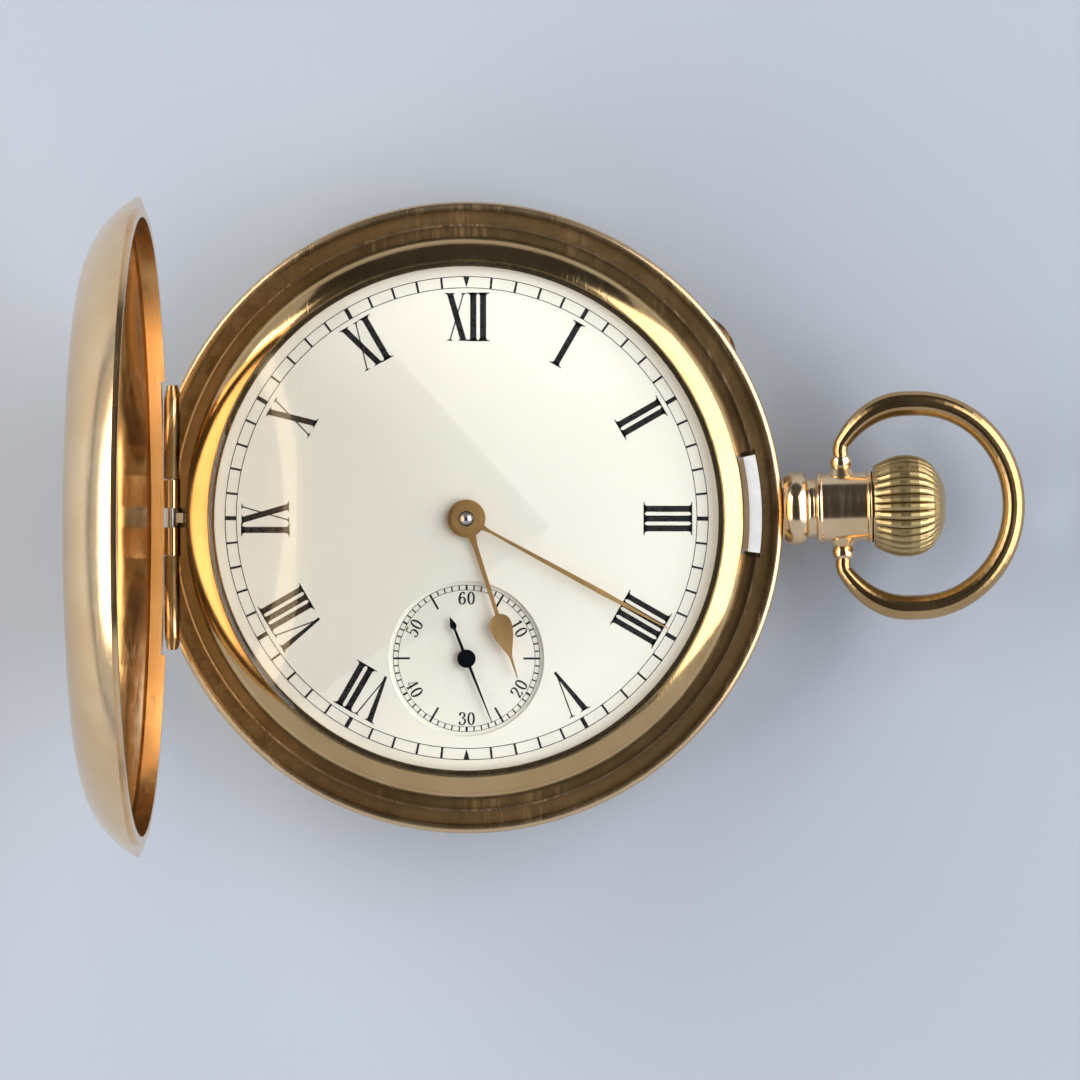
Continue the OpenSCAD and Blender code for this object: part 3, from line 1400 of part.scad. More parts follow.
// Cock that reaches over the balance from a foot on the pillar plate
module balance_cock() {
    dir = toward(cock_foot, balance_at);
    color(nickel) difference() {
        union() {
            at(balance_at) translate([0, 0, cock_z]) cylinder(r = 2.3, h = cock_t, $fn = part_fn);
            at(cock_foot) rotate([0, 0, dir]) translate([0, 0, cock_z]) linear_extrude(cock_t)
                polygon([[0.5, 0.2 - cock_foot_r], [norm(balance_at - cock_foot), -1.9],
                    [norm(balance_at - cock_foot), 1.9], [0.5, cock_foot_r - 0.2]]);
            at(cock_foot) translate([0, 0, cock_z])
                cylinder(r = cock_foot_r, h = plate_back - cock_z, $fn = ring_fn);
        }
        at(balance_at) translate([0, 0, cock_z - 1]) cylinder(r = jewel_r, h = 3, $fn = part_fn);
        at(cock_foot) translate([0, 0, cock_z - 1]) cylinder(r = 0.45, h = 9, $fn = part_fn);
        at(cock_foot) translate([0, 0, cock_z - 1]) cylinder(r = 1.25, h = 1.16, $fn = part_fn);
    }
}

module jewel(z, thick) {
    translate([0, 0, z]) difference() {
        cylinder(r = jewel_r - 0.005, h = thick, $fn = part_fn);
        translate([0, 0, -1]) cylinder(r = pivot_r + pivot_play, h = thick + 2, $fn = part_fn);
    }
}

module jewels() {
    color(ruby) {
        for (p = [third_at, fourth_at, escape_at]) {
            at(p) jewel(high_jewel_z, jewel_t);
            at(p) jewel(low_jewel_z, jewel_t);
        }
        at(pallet_at) jewel(pallet_bridge_z() + pallet_bridge_t - jewel_t, jewel_t - 0.1);
        at(pallet_at) jewel(low_jewel_z, jewel_t);
        at(balance_at) jewel(low_jewel_z, jewel_t);
        at(balance_at) jewel(cock_z + 0.08, cock_t - 0.1);
        translate([0, 0, bridge_front - jewel_t - 0.1]) difference() {
            cylinder(r = jewel_r - 0.005, h = jewel_t, $fn = part_fn);
            translate([0, 0, -1]) cylinder(r = 0.3 + pivot_play, h = 3, $fn = part_fn);
        }
    }
}

// Screw with its slotted head down, the head's top at z = 0
module screw(head_r, head_h, shank_r, shank_l) {
    difference() {
        union() {
            cylinder(r = head_r, h = head_h, $fn = part_fn);
            translate([0, 0, head_h - eps]) cylinder(r = shank_r, h = shank_l + eps, $fn = part_fn);
        }
        translate([-head_r - 1, -0.1, -eps]) cube([2 * head_r + 2, 0.2, head_h * 0.45]);
    }
}

screw_grip = 0.9;

module bridge_screws() {
    color(steel) {
        for (p = plate_screws) {
            at(p) translate([0, 0, bridge_back - screw_head_h])
                screw(screw_head_r, screw_head_h, 0.44, bridge_t + train_room + screw_grip);
        }
        at(pallet_foot) translate([0, 0, pallet_bridge_z() - 0.2])
            screw(0.8, 0.2, 0.44, plate_back - pallet_bridge_z() + screw_grip);
        at(cock_foot) translate([0, 0, cock_z - 0.06])
            screw(1.2, 0.22, 0.44, plate_back - cock_z - 0.16 + screw_grip);
    }
}

module case_screws() {
    color(steel) for (dir = case_screw_dirs) {
        rotate([0, 0, dir]) translate([case_screw_at, 0, ledge_z - 0.35])
            screw(1.3, 0.35, 0.45, plate_back - ledge_z + screw_grip);
    }
}

// Main plate: pillars for the bridges on one side, motion work recess on the other
module pillar_plate() {
    color(brass) {
        difference() {
            union() {
                translate([0, 0, plate_back]) cylinder(r = plate_r, h = plate_t, $fn = ring_fn);
                for (p = plate_screws) {
                    at(p) translate([0, 0, bridge_front])
                        cylinder(r = pillar_r, h = train_room + eps, $fn = part_fn);
                }
            }
            for (p = concat(plate_screws, [pallet_foot, cock_foot])) {
                at(p) translate([0, 0, bridge_front - 1])
                    cylinder(r = 0.45, h = train_room + 1 + screw_grip + 0.1, $fn = part_fn);
            }
            at(barrel_at) translate([0, 0, plate_back - 1])
                cylinder(r = drum_r + 0.2, h = 1 + drum_top - plate_back + 0.08, $fn = ring_fn);
            at(barrel_at) translate([0, 0, plate_back - 1])
                cylinder(r = arbor_pivot_r + run, h = drum_top + 2 - plate_back, $fn = part_fn);
            for (p = [third_at, fourth_at, escape_at, pallet_at, balance_at]) {
                at(p) translate([0, 0, plate_back - 1])
                    cylinder(r = jewel_r, h = 1 + low_jewel_z + jewel_t - plate_back, $fn = part_fn);
            }
            translate([0, 0, plate_back - 1])
                cylinder(r = center_arbor_r + run, h = plate_t + 2, $fn = part_fn);
            at(fourth_at) translate([0, 0, plate_back]) cylinder(r = 0.3, h = plate_t + 1, $fn = part_fn);
            // Recess for the motion work
            translate([0, 0, motion_floor]) cylinder(r = 3.6, h = 3, $fn = ring_fn);
            at(minute_wheel_at) translate([0, 0, motion_floor]) cylinder(r = 3.2, h = 3, $fn = ring_fn);
            // Room for the winding pinion, the face gear and the stem
            at(crown_wheel_pos) translate([0, 0, plate_back - 1])
                cylinder(r = contrate_r() + 0.5, h = 1.35, $fn = part_fn);
            on_pendant() translate([crown_wheel_at + contrate_r() - pinion_t / 2 - 0.1, -1.5, -4])
                cube([pinion_t + 0.2, 3, 8]);
            on_pendant() translate([stem_in_x - 0.9, 0, 0]) turned_on_x()
                square([stem_r + 0.1, plate_r]);
            for (dir = foot_dirs) {
                rotate([0, 0, dir]) translate([dial_foot_at, 0, plate_top - dial_foot_l - 0.1])
                    cylinder(r = dial_foot_r + 0.02, h = 5, $fn = part_fn);
            }
            for (dir = case_screw_dirs) {
                rotate([0, 0, dir]) translate([case_screw_at, 0, plate_back - 1])
                    cylinder(r = 0.46, h = 1 + screw_grip + 0.1, $fn = part_fn);
            }
        }
        at(minute_wheel_at) translate([0, 0, motion_floor - eps])
            cylinder(r = 0.3, h = plate_top - motion_floor - 0.1, $fn = part_fn);
    }
}

case_middle();
pendant();
pendant_sleeve();
bezel();
crystal();
front_cover();
back_cover();
cuvette();
front_hinge_pin();
rear_hinge_pin();
lift_spring();
lock_spring();
bow();
crown();
stem();
dial();
seconds_dial();
hour_hand();
minute_hand();
seconds_hand();
pillar_plate();
barrel_bridge();
train_bridge();
pallet_bridge();
balance_cock();
jewels();
bridge_screws();
case_screws();
winding_pinion();
crown_wheel();
ratchet_wheel();
barrel_arbor();
click();
click_spring();
barrel();
barrel_cover();
mainspring();
center_wheel();
cannon_pinion();
hour_wheel();
minute_wheel();
third_wheel();
fourth_wheel();
escape_wheel();
pallet_fork();
pallet_stones();
balance_wheel();
balance_staff();
roller();
hairspring();
hairspring_stud();
regulator();
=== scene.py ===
import json
import math

import bpy
from mathutils import Matrix, Vector


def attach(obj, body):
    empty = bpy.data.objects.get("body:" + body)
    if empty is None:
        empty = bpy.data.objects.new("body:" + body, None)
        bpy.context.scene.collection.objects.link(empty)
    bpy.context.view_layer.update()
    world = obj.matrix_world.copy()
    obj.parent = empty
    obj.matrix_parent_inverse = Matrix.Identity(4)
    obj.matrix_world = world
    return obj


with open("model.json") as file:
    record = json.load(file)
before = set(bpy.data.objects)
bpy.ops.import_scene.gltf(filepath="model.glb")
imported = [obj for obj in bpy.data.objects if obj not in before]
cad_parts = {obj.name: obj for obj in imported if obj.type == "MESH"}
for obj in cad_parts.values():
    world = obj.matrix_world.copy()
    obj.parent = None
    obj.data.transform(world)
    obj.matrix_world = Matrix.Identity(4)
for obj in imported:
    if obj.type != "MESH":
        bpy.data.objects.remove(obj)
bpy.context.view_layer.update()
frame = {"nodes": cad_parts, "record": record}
nodes = frame["nodes"]
scene = bpy.context.scene
MM = 0.001

# Camera, fitted to the photograph
EYE_AT = (19.105, 16.831, 564.05)  # mm
EYE_TURN = (-1.919, 1.349, 0.0326)  # rotation vector, degrees
LENS, SENSOR = 225.5, 36

turn = Vector(EYE_TURN)
camera = bpy.data.cameras.new("camera")
camera.lens = LENS
camera.sensor_width = SENSOR
camera.clip_start = 0.02
camera.clip_end = 20
eye = bpy.data.objects.new("camera", camera)
eye.rotation_mode = "QUATERNION"
turned_by = Matrix.Rotation(math.radians(turn.length), 3, turn.normalized())
eye.rotation_quaternion = turned_by.to_quaternion()
eye.location = Vector(EYE_AT) * MM
scene.collection.objects.link(eye)
scene.camera = eye


# Materials
HAIR_ANGLES, HAIR_SCALE, HAIR_WIDTH = (20, 75, 140), 900, 0.03


class Finish:
    """A material with one Principled shader and short calls for the nodes that feed it."""

    def __init__(self, name, **values):
        self.mat = bpy.data.materials.new(name)
        self.mat.use_nodes = True
        self.tree = self.mat.node_tree
        self.tree.nodes.clear()
        self.out = self.tree.nodes.new("ShaderNodeOutputMaterial")
        self.shader = self.tree.nodes.new("ShaderNodeBsdfPrincipled")
        self.tree.links.new(self.shader.outputs[0], self.out.inputs[0])
        self.place = self.tree.nodes.new("ShaderNodeTexCoord").outputs["Object"]
        for key, value in values.items():
            self.shader.inputs[key.replace("_", " ")].default_value = value

    def put(self, socket, value):
        if hasattr(value, "is_output"):
            self.tree.links.new(value, socket)
        else:
            socket.default_value = value

    def to(self, name, value):
        self.put(self.shader.inputs[name], value)

    def node(self, kind, inputs=(), **settings):
        made = self.tree.nodes.new("ShaderNode" + kind)
        for key, value in settings.items():
            setattr(made, key, value)
        for key, value in dict(inputs).items():
            self.put(made.inputs[key], value)
        return made

    def maths(self, operation, a, b=0.0, c=0.0):
        return self.node("Math", {0: a, 1: b, 2: c}, operation=operation).outputs[0]

    def stretch(self, scale, turned=(0, 0, 0)):
        return self.node("Mapping", {"Vector": self.place, "Scale": scale,
                                     "Rotation": [math.radians(t) for t in turned]}).outputs[0]

    def noise(self, scale, detail=3.0, rough=0.5, warp=0.0, source=None):
        return self.node("TexNoise", {"Vector": source or self.place, "Scale": scale, "Detail": detail,
                                      "Roughness": rough, "Distortion": warp}).outputs[0]

    def spread(self, value, low, high, to_low=0.0, to_high=1.0):
        return self.node("MapRange", {0: value, 1: low, 2: high, 3: to_low, 4: to_high},
                         clamp=True).outputs[0]

    def tint(self, share, first, second):
        mix = self.node("Mix", data_type="RGBA")
        for socket, value in zip([mix.inputs[0], mix.inputs[6], mix.inputs[7]], [share, first, second]):
            if isinstance(value, tuple):
                value = (*value, 1.0)
            self.put(socket, value)
        return mix.outputs[2]

    def length(self, vector, kept):
        """Length of a vector, in metres, with only the parts that kept has 1 for."""
        flat = self.node("VectorMath", {0: vector, 1: kept}, operation="MULTIPLY").outputs[0]
        return self.node("VectorMath", {0: flat}, operation="LENGTH").outputs["Value"]

    def radius(self):
        """Distance from the watch's upright axis, in millimetres."""
        return self.maths("DIVIDE", self.length(self.place, (1, 1, 0)), MM)

    def colour(self):
        """What feeds the base colour so far."""
        return self.shader.inputs["Base Color"].links[0].from_socket

    def band(self, value, low, high, soft):
        """1 between low and high, falling to 0 over soft outside them."""
        up = self.spread(value, low - soft, low)
        down = self.spread(value, high, high + soft, 1.0, 0.0)
        return self.maths("MULTIPLY", up, down)

    def scratches(self):
        """Sparse hairlines in three directions."""
        total = None
        for i, angle in enumerate(HAIR_ANGLES):
            drawn = self.stretch((1, 0.03, 0.4), (13 * i, 7 * i, angle))
            line = self.noise(HAIR_SCALE, 2.0, 0.5, 0.4, drawn)
            mark = self.spread(self.maths("ABSOLUTE", self.maths("SUBTRACT", line, 0.5)), HAIR_WIDTH, 0.0)
            patch = self.spread(self.noise(120 + 40 * i, 1.0, 0.5), 0.5, 0.62)
            mark = self.maths("MULTIPLY", mark, patch)
            total = mark if total is None else self.maths("MAXIMUM", total, mark)
        return total

    def bump(self, height, depth):
        made = self.node("Bump", {"Strength": 1.0, "Distance": depth, "Height": height})
        self.to("Normal", made.outputs[0])


def gold(name, light=(0.92, 0.68, 0.41), deep=(0.80, 0.54, 0.28), rough=0.14, worn=0.5, waves=0.0):
    f = Finish(name, Metallic=1.0)
    cloud = f.spread(f.noise(160, 4.0, 0.55), 0.35, 0.7)
    hair = f.scratches()
    f.to("Base Color", f.tint(cloud, deep, light))
    haze = f.spread(f.noise(420, 5.0, 0.6), 0.35, 0.75, rough, rough + 0.12 * worn)
    f.to("Roughness", f.maths("ADD", haze, f.maths("MULTIPLY", hair, 0.22 * worn)))
    height = f.maths("ADD", f.maths("MULTIPLY", f.noise(90, 2.0, 0.5), waves),
                     f.maths("MULTIPLY", hair, -0.25 * worn))
    f.bump(f.maths("ADD", height, f.maths("MULTIPLY", f.noise(2600, 2.0, 0.5), 0.1 * worn)), 0.00002)
    return f


def lay_painted_shade(f, mask, shade_colour=(0.085, 0.062, 0.026), share=0.8):
    """Lays painted shade, a blotchy dull brown darkening, over a gold finish where mask is 1."""
    spots = f.spread(f.noise(700, 5.0, 0.65), 0.3, 0.68)
    mask = f.maths("MULTIPLY", mask, f.maths("MULTIPLY_ADD", spots, share, 1 - share))
    rough = f.shader.inputs["Roughness"].links[0].from_socket
    shade_tone = f.tint(f.noise(300, 3.0), shade_colour, tuple(2.1 * c for c in shade_colour))
    f.to("Base Color", f.tint(mask, f.colour(), shade_tone))
    f.to("Roughness", f.maths("MULTIPLY_ADD", mask, 0.3, rough))
    return f


def turned_lines(f, r, deep=(0.45, 0.29, 0.13), share=0.35):
    """Fine concentric tool marks and broken streaks round the upright axis."""
    along = f.node("CombineXYZ", {0: f.maths("MULTIPLY", r, 9.0)}).outputs[0]
    rings = f.noise(1.0, 3.0, 0.6, 0.0, along)
    streaks = f.spread(f.noise(260, 4.0, 0.6), 0.4, 0.65)
    mark = f.maths("MULTIPLY", f.spread(rings, 0.5, 0.62), streaks)
    f.to("Base Color", f.tint(f.maths("MULTIPLY", mark, share), f.colour(), deep))
    return f


# Axis of the open front cover's dome, and how far the fan of triangles in its middle goes, in millimetres
COVER_MIDDLE, FAN_REACH = (0, 0, 32.05), 3.89


def smooth_pole(f, centre, reach):
    """Shades the middle of a dome standing on edge with its faces' own normals: the CAD mesh is one fan of
    triangles there, and its corner normals at the pole point the wrong way."""
    off = f.node("VectorMath", {0: f.place, 1: [c * MM for c in centre]}, operation="SUBTRACT").outputs[0]
    near = f.maths("LESS_THAN", f.length(off, (0, 1, 1)), reach * MM)
    surface = f.node("NewGeometry").outputs
    mix = f.node("Mix", {0: near, 4: surface["Normal"], 5: surface["True Normal"]}, data_type="VECTOR")
    f.put(f.shader.inputs["Normal"].links[0].from_node.inputs["Normal"], mix.outputs[1])
    return f


def steel(name, colour=(0.62, 0.62, 0.63), rough=0.14, grain=0.12):
    f = Finish(name, Metallic=1.0)
    lines = f.noise(1500, 3.0, 0.6, 0.0, f.stretch((1, 0.05, 1), (0, 0, 30)))
    cloud = f.spread(f.noise(500, 3.0), 0.3, 0.7)
    f.to("Base Color", f.tint(cloud, tuple(0.8 * c for c in colour), colour))
    f.to("Roughness", f.spread(lines, 0.3, 0.7, rough, rough + grain))
    f.bump(lines, 0.000004)
    return f


def finishes():
    made = {}
    made["gold_case"] = gold("gold_polished", waves=0.4)

    f = gold("gold_case_middle", light=(0.56, 0.36, 0.17), deep=(0.38, 0.23, 0.09), rough=0.26, worn=0.6)
    r = f.radius()
    # Painted shade: the groove, and at under half strength the ring just round the bezel's edge, are darkened
    # brown
    groove = f.band(r, 24.2, 25.2, 0.06)
    inner = f.band(r, 22.9, 23.9, 0.12)
    lay_painted_shade(f, f.maths("MAXIMUM", groove, f.maths("MULTIPLY", inner, 0.45)), (0.12, 0.075, 0.032), 0.6)
    turned_lines(f, r, (0.20, 0.13, 0.06), 0.6)
    # Painted highlights: two thin lighter rings, on the rounded outer rim and just inside the groove
    lines = f.maths("MAXIMUM", f.band(r, 25.55, 25.9, 0.12), f.band(r, 24.0, 24.12, 0.04))
    f.to("Base Color", f.tint(f.maths("MULTIPLY", lines, 0.8), f.colour(), (0.82, 0.58, 0.33)))
    made["case_middle"] = f

    f = gold("gold_bezel", light=(0.68, 0.46, 0.225), deep=(0.58, 0.375, 0.165), rough=0.11, worn=0.35,
             waves=0.3)
    r = f.radius()
    # Painted shade in the creases at the bezel's inner edge, by the crystal, and at its outer edge
    edge = f.maths("MAXIMUM", f.band(r, 21.05, 21.2, 0.06), f.band(r, 22.95, 23.3, 0.12))
    lay_painted_shade(f, edge, share=0.4)
    made["bezel"] = f

    f = gold("gold_cover_outer", light=(0.90, 0.65, 0.38), rough=0.15, worn=0.35, waves=0.5)
    made["front_cover"] = smooth_pole(f, COVER_MIDDLE, FAN_REACH)
    made["back_cover"] = gold("gold_cover_back", rough=0.12, worn=0.8, waves=0.8)
    made["cuvette"] = gold("gold_cuvette", light=(0.90, 0.66, 0.39), rough=0.12, worn=0.8, waves=0.5)
    made["pendant"] = gold("gold_pendant", rough=0.15, worn=0.4, waves=0.2)
    made["bow"] = gold("gold_bow", light=(0.58, 0.38, 0.18), deep=(0.47, 0.29, 0.12), rough=0.2, worn=0.2,
                       waves=0.3)
    f = gold("gold_crown", light=(0.60, 0.45, 0.22), deep=(0.47, 0.34, 0.15), rough=0.32, worn=0.5)
    # Painted shade: the flutes' hollows, where ambient occlusion finds little open space, are darkened brown
    hollow = f.node("AmbientOcclusion", {"Distance": 0.0007}, samples=8, only_local=True).outputs["AO"]
    lay_painted_shade(f, f.spread(hollow, 0.45, 0.85, 1.0, 0.0), (0.13, 0.095, 0.04), 0.4)
    made["crown"] = f

    made["hand_gold"] = gold("gold_hand", light=(0.74, 0.48, 0.21), deep=(0.62, 0.37, 0.13), rough=0.4,
                             worn=0.6)

    f = Finish("enamel_white", IOR=1.5, Coat_Weight=0.5, Coat_Roughness=0.05)
    warm = f.spread(f.noise(45, 2.0), 0.3, 0.7)
    specks = f.spread(f.noise(5200, 2.0, 0.5), 0.77, 0.83)
    base = f.tint(warm, (0.92, 0.885, 0.785), (0.94, 0.91, 0.815))
    f.to("Base Color", f.tint(f.maths("MULTIPLY", specks, 0.3), base, (0.35, 0.32, 0.27)))
    f.to("Roughness", f.spread(f.noise(800, 3.0), 0.3, 0.7, 0.16, 0.24))
    f.bump(f.noise(500, 2.0), 0.000006)
    made["enamel"] = f

    f = Finish("ink_black", IOR=1.5)
    f.to("Base Color", f.tint(f.noise(2500, 3.0), (0.006, 0.006, 0.007), (0.022, 0.02, 0.02)))
    f.to("Roughness", f.spread(f.noise(3000, 2.0), 0.3, 0.7, 0.22, 0.38))
    f.bump(f.noise(6000, 2.0), 0.000003)
    made["ink"] = f

    made["steel"] = steel("steel_polished")
    # Painted reflection: the steel catch is coloured near white and made almost non-metallic, standing in for
    # the bright light it mirrors
    f = steel("steel_catch", (0.95, 0.95, 0.93), 0.42, 0.18)
    f.shader.inputs["Metallic"].default_value = 0.05
    made["lock_spring"] = f
    made["blued_steel"] = steel("steel_blued", (0.022, 0.026, 0.05), 0.18, 0.1)

    f = Finish("nickel_striped", Metallic=1.0)
    wave = f.node("TexWave", {"Vector": f.stretch((1, 1, 1), (0, 0, 45)), "Scale": 60.0, "Distortion": 0.6,
                              "Detail": 1.0}, wave_type="BANDS").outputs[1]
    f.to("Base Color", f.tint(wave, (0.60, 0.58, 0.54), (0.74, 0.72, 0.67)))
    f.to("Roughness", f.spread(wave, 0.0, 1.0, 0.18, 0.32))
    f.bump(wave, 0.00001)
    made["nickel"] = f

    f = Finish("brass_gilt", Metallic=1.0)
    grain = f.noise(4200, 3.0, 0.6)
    f.to("Base Color", f.tint(grain, (0.72, 0.50, 0.22), (0.86, 0.64, 0.32)))
    f.to("Roughness", f.spread(grain, 0.3, 0.7, 0.24, 0.4))
    f.bump(grain, 0.000012)
    made["gilt_brass"] = f

    f = Finish("ruby_stone", IOR=1.77, Transmission_Weight=0.35)
    f.to("Base Color", f.tint(f.noise(1500, 3.0), (0.42, 0.01, 0.04), (0.62, 0.03, 0.09)))
    f.to("Roughness", f.spread(f.noise(900, 2.0), 0.3, 0.7, 0.04, 0.1))
    f.bump(f.noise(2500, 2.0), 0.000003)
    made["ruby"] = f

    f = Finish("crystal_glass", IOR=1.5, Transmission_Weight=1.0)
    f.to("Base Color", f.tint(f.noise(60, 2.0), (0.985, 0.992, 0.99), (1.0, 1.0, 1.0)))
    f.to("Roughness", f.spread(f.noise(1600, 4.0), 0.6, 0.8, 0.0, 0.03))
    clear = f.node("BsdfTransparent", {0: (0.97, 0.98, 0.975, 1.0)})
    lets = f.node("LightPath").outputs["Is Shadow Ray"]
    mix = f.node("MixShader", {0: lets, 1: f.shader.outputs[0], 2: clear.outputs[0]})
    f.tree.links.new(mix.outputs[0], f.out.inputs[0])
    made["glass"] = f
    return {key: value.mat for key, value in made.items()}


materials = finishes()
slot_of = {part["node"]: part["material_slot"] for part in frame["record"]["subparts"]}
for name, obj in nodes.items():
    for entry in obj.material_slots:
        entry.material = materials.get(name) or materials[slot_of[name]]


# Printed dial
def sheet_mesh(name, outlines, low, high, body, finish):
    """Thin flat piece: every outline, a list of points in millimetres, becomes a closed low prism."""
    points, faces = [], []
    for outline in outlines:
        start, count = len(points), len(outline)
        points += [(x * MM, y * MM, low * MM) for x, y in outline]
        points += [(x * MM, y * MM, high * MM) for x, y in outline]
        faces.append([start + i for i in reversed(range(count))])
        faces.append([start + count + i for i in range(count)])
        faces += [[start + i, start + (i + 1) % count, start + count + (i + 1) % count, start + count + i]
                  for i in range(count)]
    mesh = bpy.data.meshes.new(name)
    mesh.from_pydata(points, [], faces)
    mesh.validate()
    mesh.materials.append(finish)
    made = bpy.data.objects.new(name, mesh)
    scene.collection.objects.link(made)
    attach(made, body)
    return made


def turned(outline, clockwise, centre=(0, 0), shift=0.0):
    """Turns an outline drawn upright at twelve, y outward, to its place on the dial."""
    a = math.radians(-clockwise)
    return [(centre[0] + x * math.cos(a) - (y + shift) * math.sin(a),
             centre[1] + x * math.sin(a) + (y + shift) * math.cos(a)) for x, y in outline]


def ring(radius, width, centre=(0, 0), steps=180):
    """A thin ring as short quads."""
    made = []
    for i in range(steps):
        a, b = 2 * math.pi * i / steps, 2 * math.pi * (i + 1) / steps
        made.append([(centre[0] + r * math.cos(t), centre[1] + r * math.sin(t))
                     for r, t in [(radius - width / 2, a), (radius + width / 2, a),
                                  (radius + width / 2, b), (radius - width / 2, b)]])
    return made


def bar(half, low, high):
    return [(-half, low), (half, low), (half, high), (-half, high)]


# Roman numerals, in millimetres: where feet and heads lie from the dial's middle, and hairlines' thickness
NUMERAL_LOW, NUMERAL_HIGH, HAIRLINE = 14.55, 18.45, 0.085
LETTER_WIDTH = {"I": 0.0, "V": 1.25, "X": 1.12}
# How far serifs go past a stem or a slanted stroke, half a thin stroke, and how far the line that joins stems
# goes past the last one in a numeral of stems alone and in others
STEM_SERIF, SLANT_SERIF, THIN_HALF = 0.16, 0.24, 0.05
JOINED_ALL, JOINED_STEMS = 0.3, 0.28


def numeral(text, stroke, pitch):
    """Roman numeral standing on the circle: thick stems, one thin diagonal, hairline serifs."""
    widths = LETTER_WIDTH
    low, high, hair = NUMERAL_LOW, NUMERAL_HIGH, HAIRLINE
    places, x = [], 0.0
    for i, letter in enumerate(text):
        if i:
            x += pitch + (widths[letter] + widths[text[i - 1]]) / 2
        places.append(x)
    middle = (places[0] - widths[text[0]] / 2 + places[-1] + widths[text[-1]] / 2) / 2
    shapes = []
    h = stroke / 2
    for letter, x in zip(text, places):
        x -= middle
        if letter == "I":
            shapes.append([(x - h, low), (x + h, low), (x + h, high), (x - h, high)])
            for y, d in [(low, 1), (high, -1)]:
                corner = [(x - h - STEM_SERIF, y), (x + h + STEM_SERIF, y),
                          (x + h, y + 0.2 * d), (x - h, y + 0.2 * d)]
                shapes.append(corner if d > 0 else corner[::-1])
        else:
            w = widths[letter] / 2
            foot = w if letter == "X" else 0.04
            low_h = h if letter == "X" else 0.45 * h
            shapes.append([(x + foot - low_h, low), (x + foot + low_h, low),
                           (x - w + h, high), (x - w - h, high)])
            shapes.append([(x - foot - hair * 0.6, low), (x - foot + hair * 0.6, low),
                           (x + w + hair * 0.6, high), (x + w - hair * 0.6, high)])
            ends = [(-w, high, -1, h), (w, high, -1, THIN_HALF)]
            ends += [(w, low, 1, h), (-w, low, 1, THIN_HALF)] if letter == "X" else []
            for dx, y, d, half in ends:
                corner = [(x + dx - half - SLANT_SERIF, y), (x + dx + half + SLANT_SERIF, y),
                          (x + dx + half, y + hair * 1.6 * d), (x + dx - half, y + hair * 1.6 * d)]
                shapes.append(corner if d > 0 else corner[::-1])
    stems = [place - middle for place, letter in zip(places, text) if letter == "I"]
    if stems:
        past = h + (JOINED_ALL if len(stems) == len(text) else JOINED_STEMS)
        left, right = stems[0] - past, stems[-1] + past
        for y in (low, high):
            shapes.append([(left, y - hair / 2), (right, y - hair / 2),
                           (right, y + hair / 2), (left, y + hair / 2)])
    return shapes


# Dial and seconds dial, in millimetres; the print starts just under their tops and ends just over them
DIAL_TOP, SECONDS_TOP, SECONDS_AT = 8.9, 8.55, (0, -11.5)
PRINT_SINK, PRINT_RISE = 0.004, 0.012
TRACK_IN, TRACK_OUT, TRACK_LINE = 18.88, 19.8, 0.06
SMALL_IN, SMALL_OUT, SMALL_LINE, LONG_TICK_IN = 5.62, 6.02, 0.04, 4.66
FIGURE_RADIUS, FIGURE_PITCH = 4.95, 0.74

numerals = []
for hour, text in [(12, "XII"), (1, "I"), (2, "II"), (3, "III"), (4, "IIII"), (5, "V"), (7, "VII"),
                   (8, "VIII"), (9, "IX"), (10, "X"), (11, "XI")]:
    stroke, pitch = (0.46, 0.74) if len(text) > 3 else (0.5, 0.8)
    numerals += [turned(shape, 30 * hour) for shape in numeral(text, stroke, pitch)]
sheet_mesh("dial_numerals", numerals, DIAL_TOP - PRINT_SINK, DIAL_TOP + PRINT_RISE, "case", materials["ink"])

track = ring(TRACK_OUT, TRACK_LINE) + ring(TRACK_IN, TRACK_LINE)
for minute in range(60):
    if minute in (0, 30):
        track.append(turned([(0, TRACK_IN + 0.04), (0.26, TRACK_OUT), (-0.26, TRACK_OUT)], 6 * minute))
    else:
        track.append(turned(bar(0.17 if minute % 5 == 0 else 0.09, TRACK_IN, TRACK_OUT), 6 * minute))
sheet_mesh("minute_track", track, DIAL_TOP - PRINT_SINK, DIAL_TOP + PRINT_RISE, "case", materials["ink"])

small = ring(SMALL_OUT, SMALL_LINE, SECONDS_AT, 120) + ring(SMALL_IN, SMALL_LINE, SECONDS_AT, 120)
for second in range(60):
    inner = LONG_TICK_IN if second % 10 == 5 else SMALL_IN
    half = 0.085 if second % 5 == 0 else 0.055
    small.append(turned(bar(half, inner, SMALL_OUT), 6 * second, SECONDS_AT))
sheet_mesh("seconds_track", small, SECONDS_TOP - PRINT_SINK, SECONDS_TOP + PRINT_RISE, "case",
           materials["ink"])


def pen(points, thin, thick, smooth=True, steps=6):
    """A written stroke: quads along a smooth line, wide where it runs up or down and thin across."""
    path = []
    if smooth and len(points) > 2:
        ends = [points[0]] + list(points) + [points[-1]]
        for i in range(len(points) - 1):
            a, b, c, d = [Vector(p) for p in ends[i:i + 4]]
            for k in range(steps):
                t = k / steps
                path.append(0.5 * ((2 * b) + (c - a) * t + (2 * a - 5 * b + 4 * c - d) * t * t
                                   + (3 * b - a - 3 * c + d) * t ** 3))
        path.append(Vector(points[-1]))
    else:
        path = [Vector(p) for p in points]
    rails = []
    for i, p in enumerate(path):
        way = (path[min(i + 1, len(path) - 1)] - path[max(i - 1, 0)]).normalized()
        half = (thin + (thick - thin) * abs(way.y) ** 1.5) / 2
        side = Vector((-way.y, way.x)) * half
        rails.append((p - side, p + side))
    return [[tuple(p) for p in (a[0], b[0], b[1], a[1])] for a, b in zip(rails, rails[1:])]


def dot(x, y, r):
    return [[(x + r * math.cos(t), y + r * math.sin(t)) for t in [math.pi * i / 5 for i in range(10)]]]


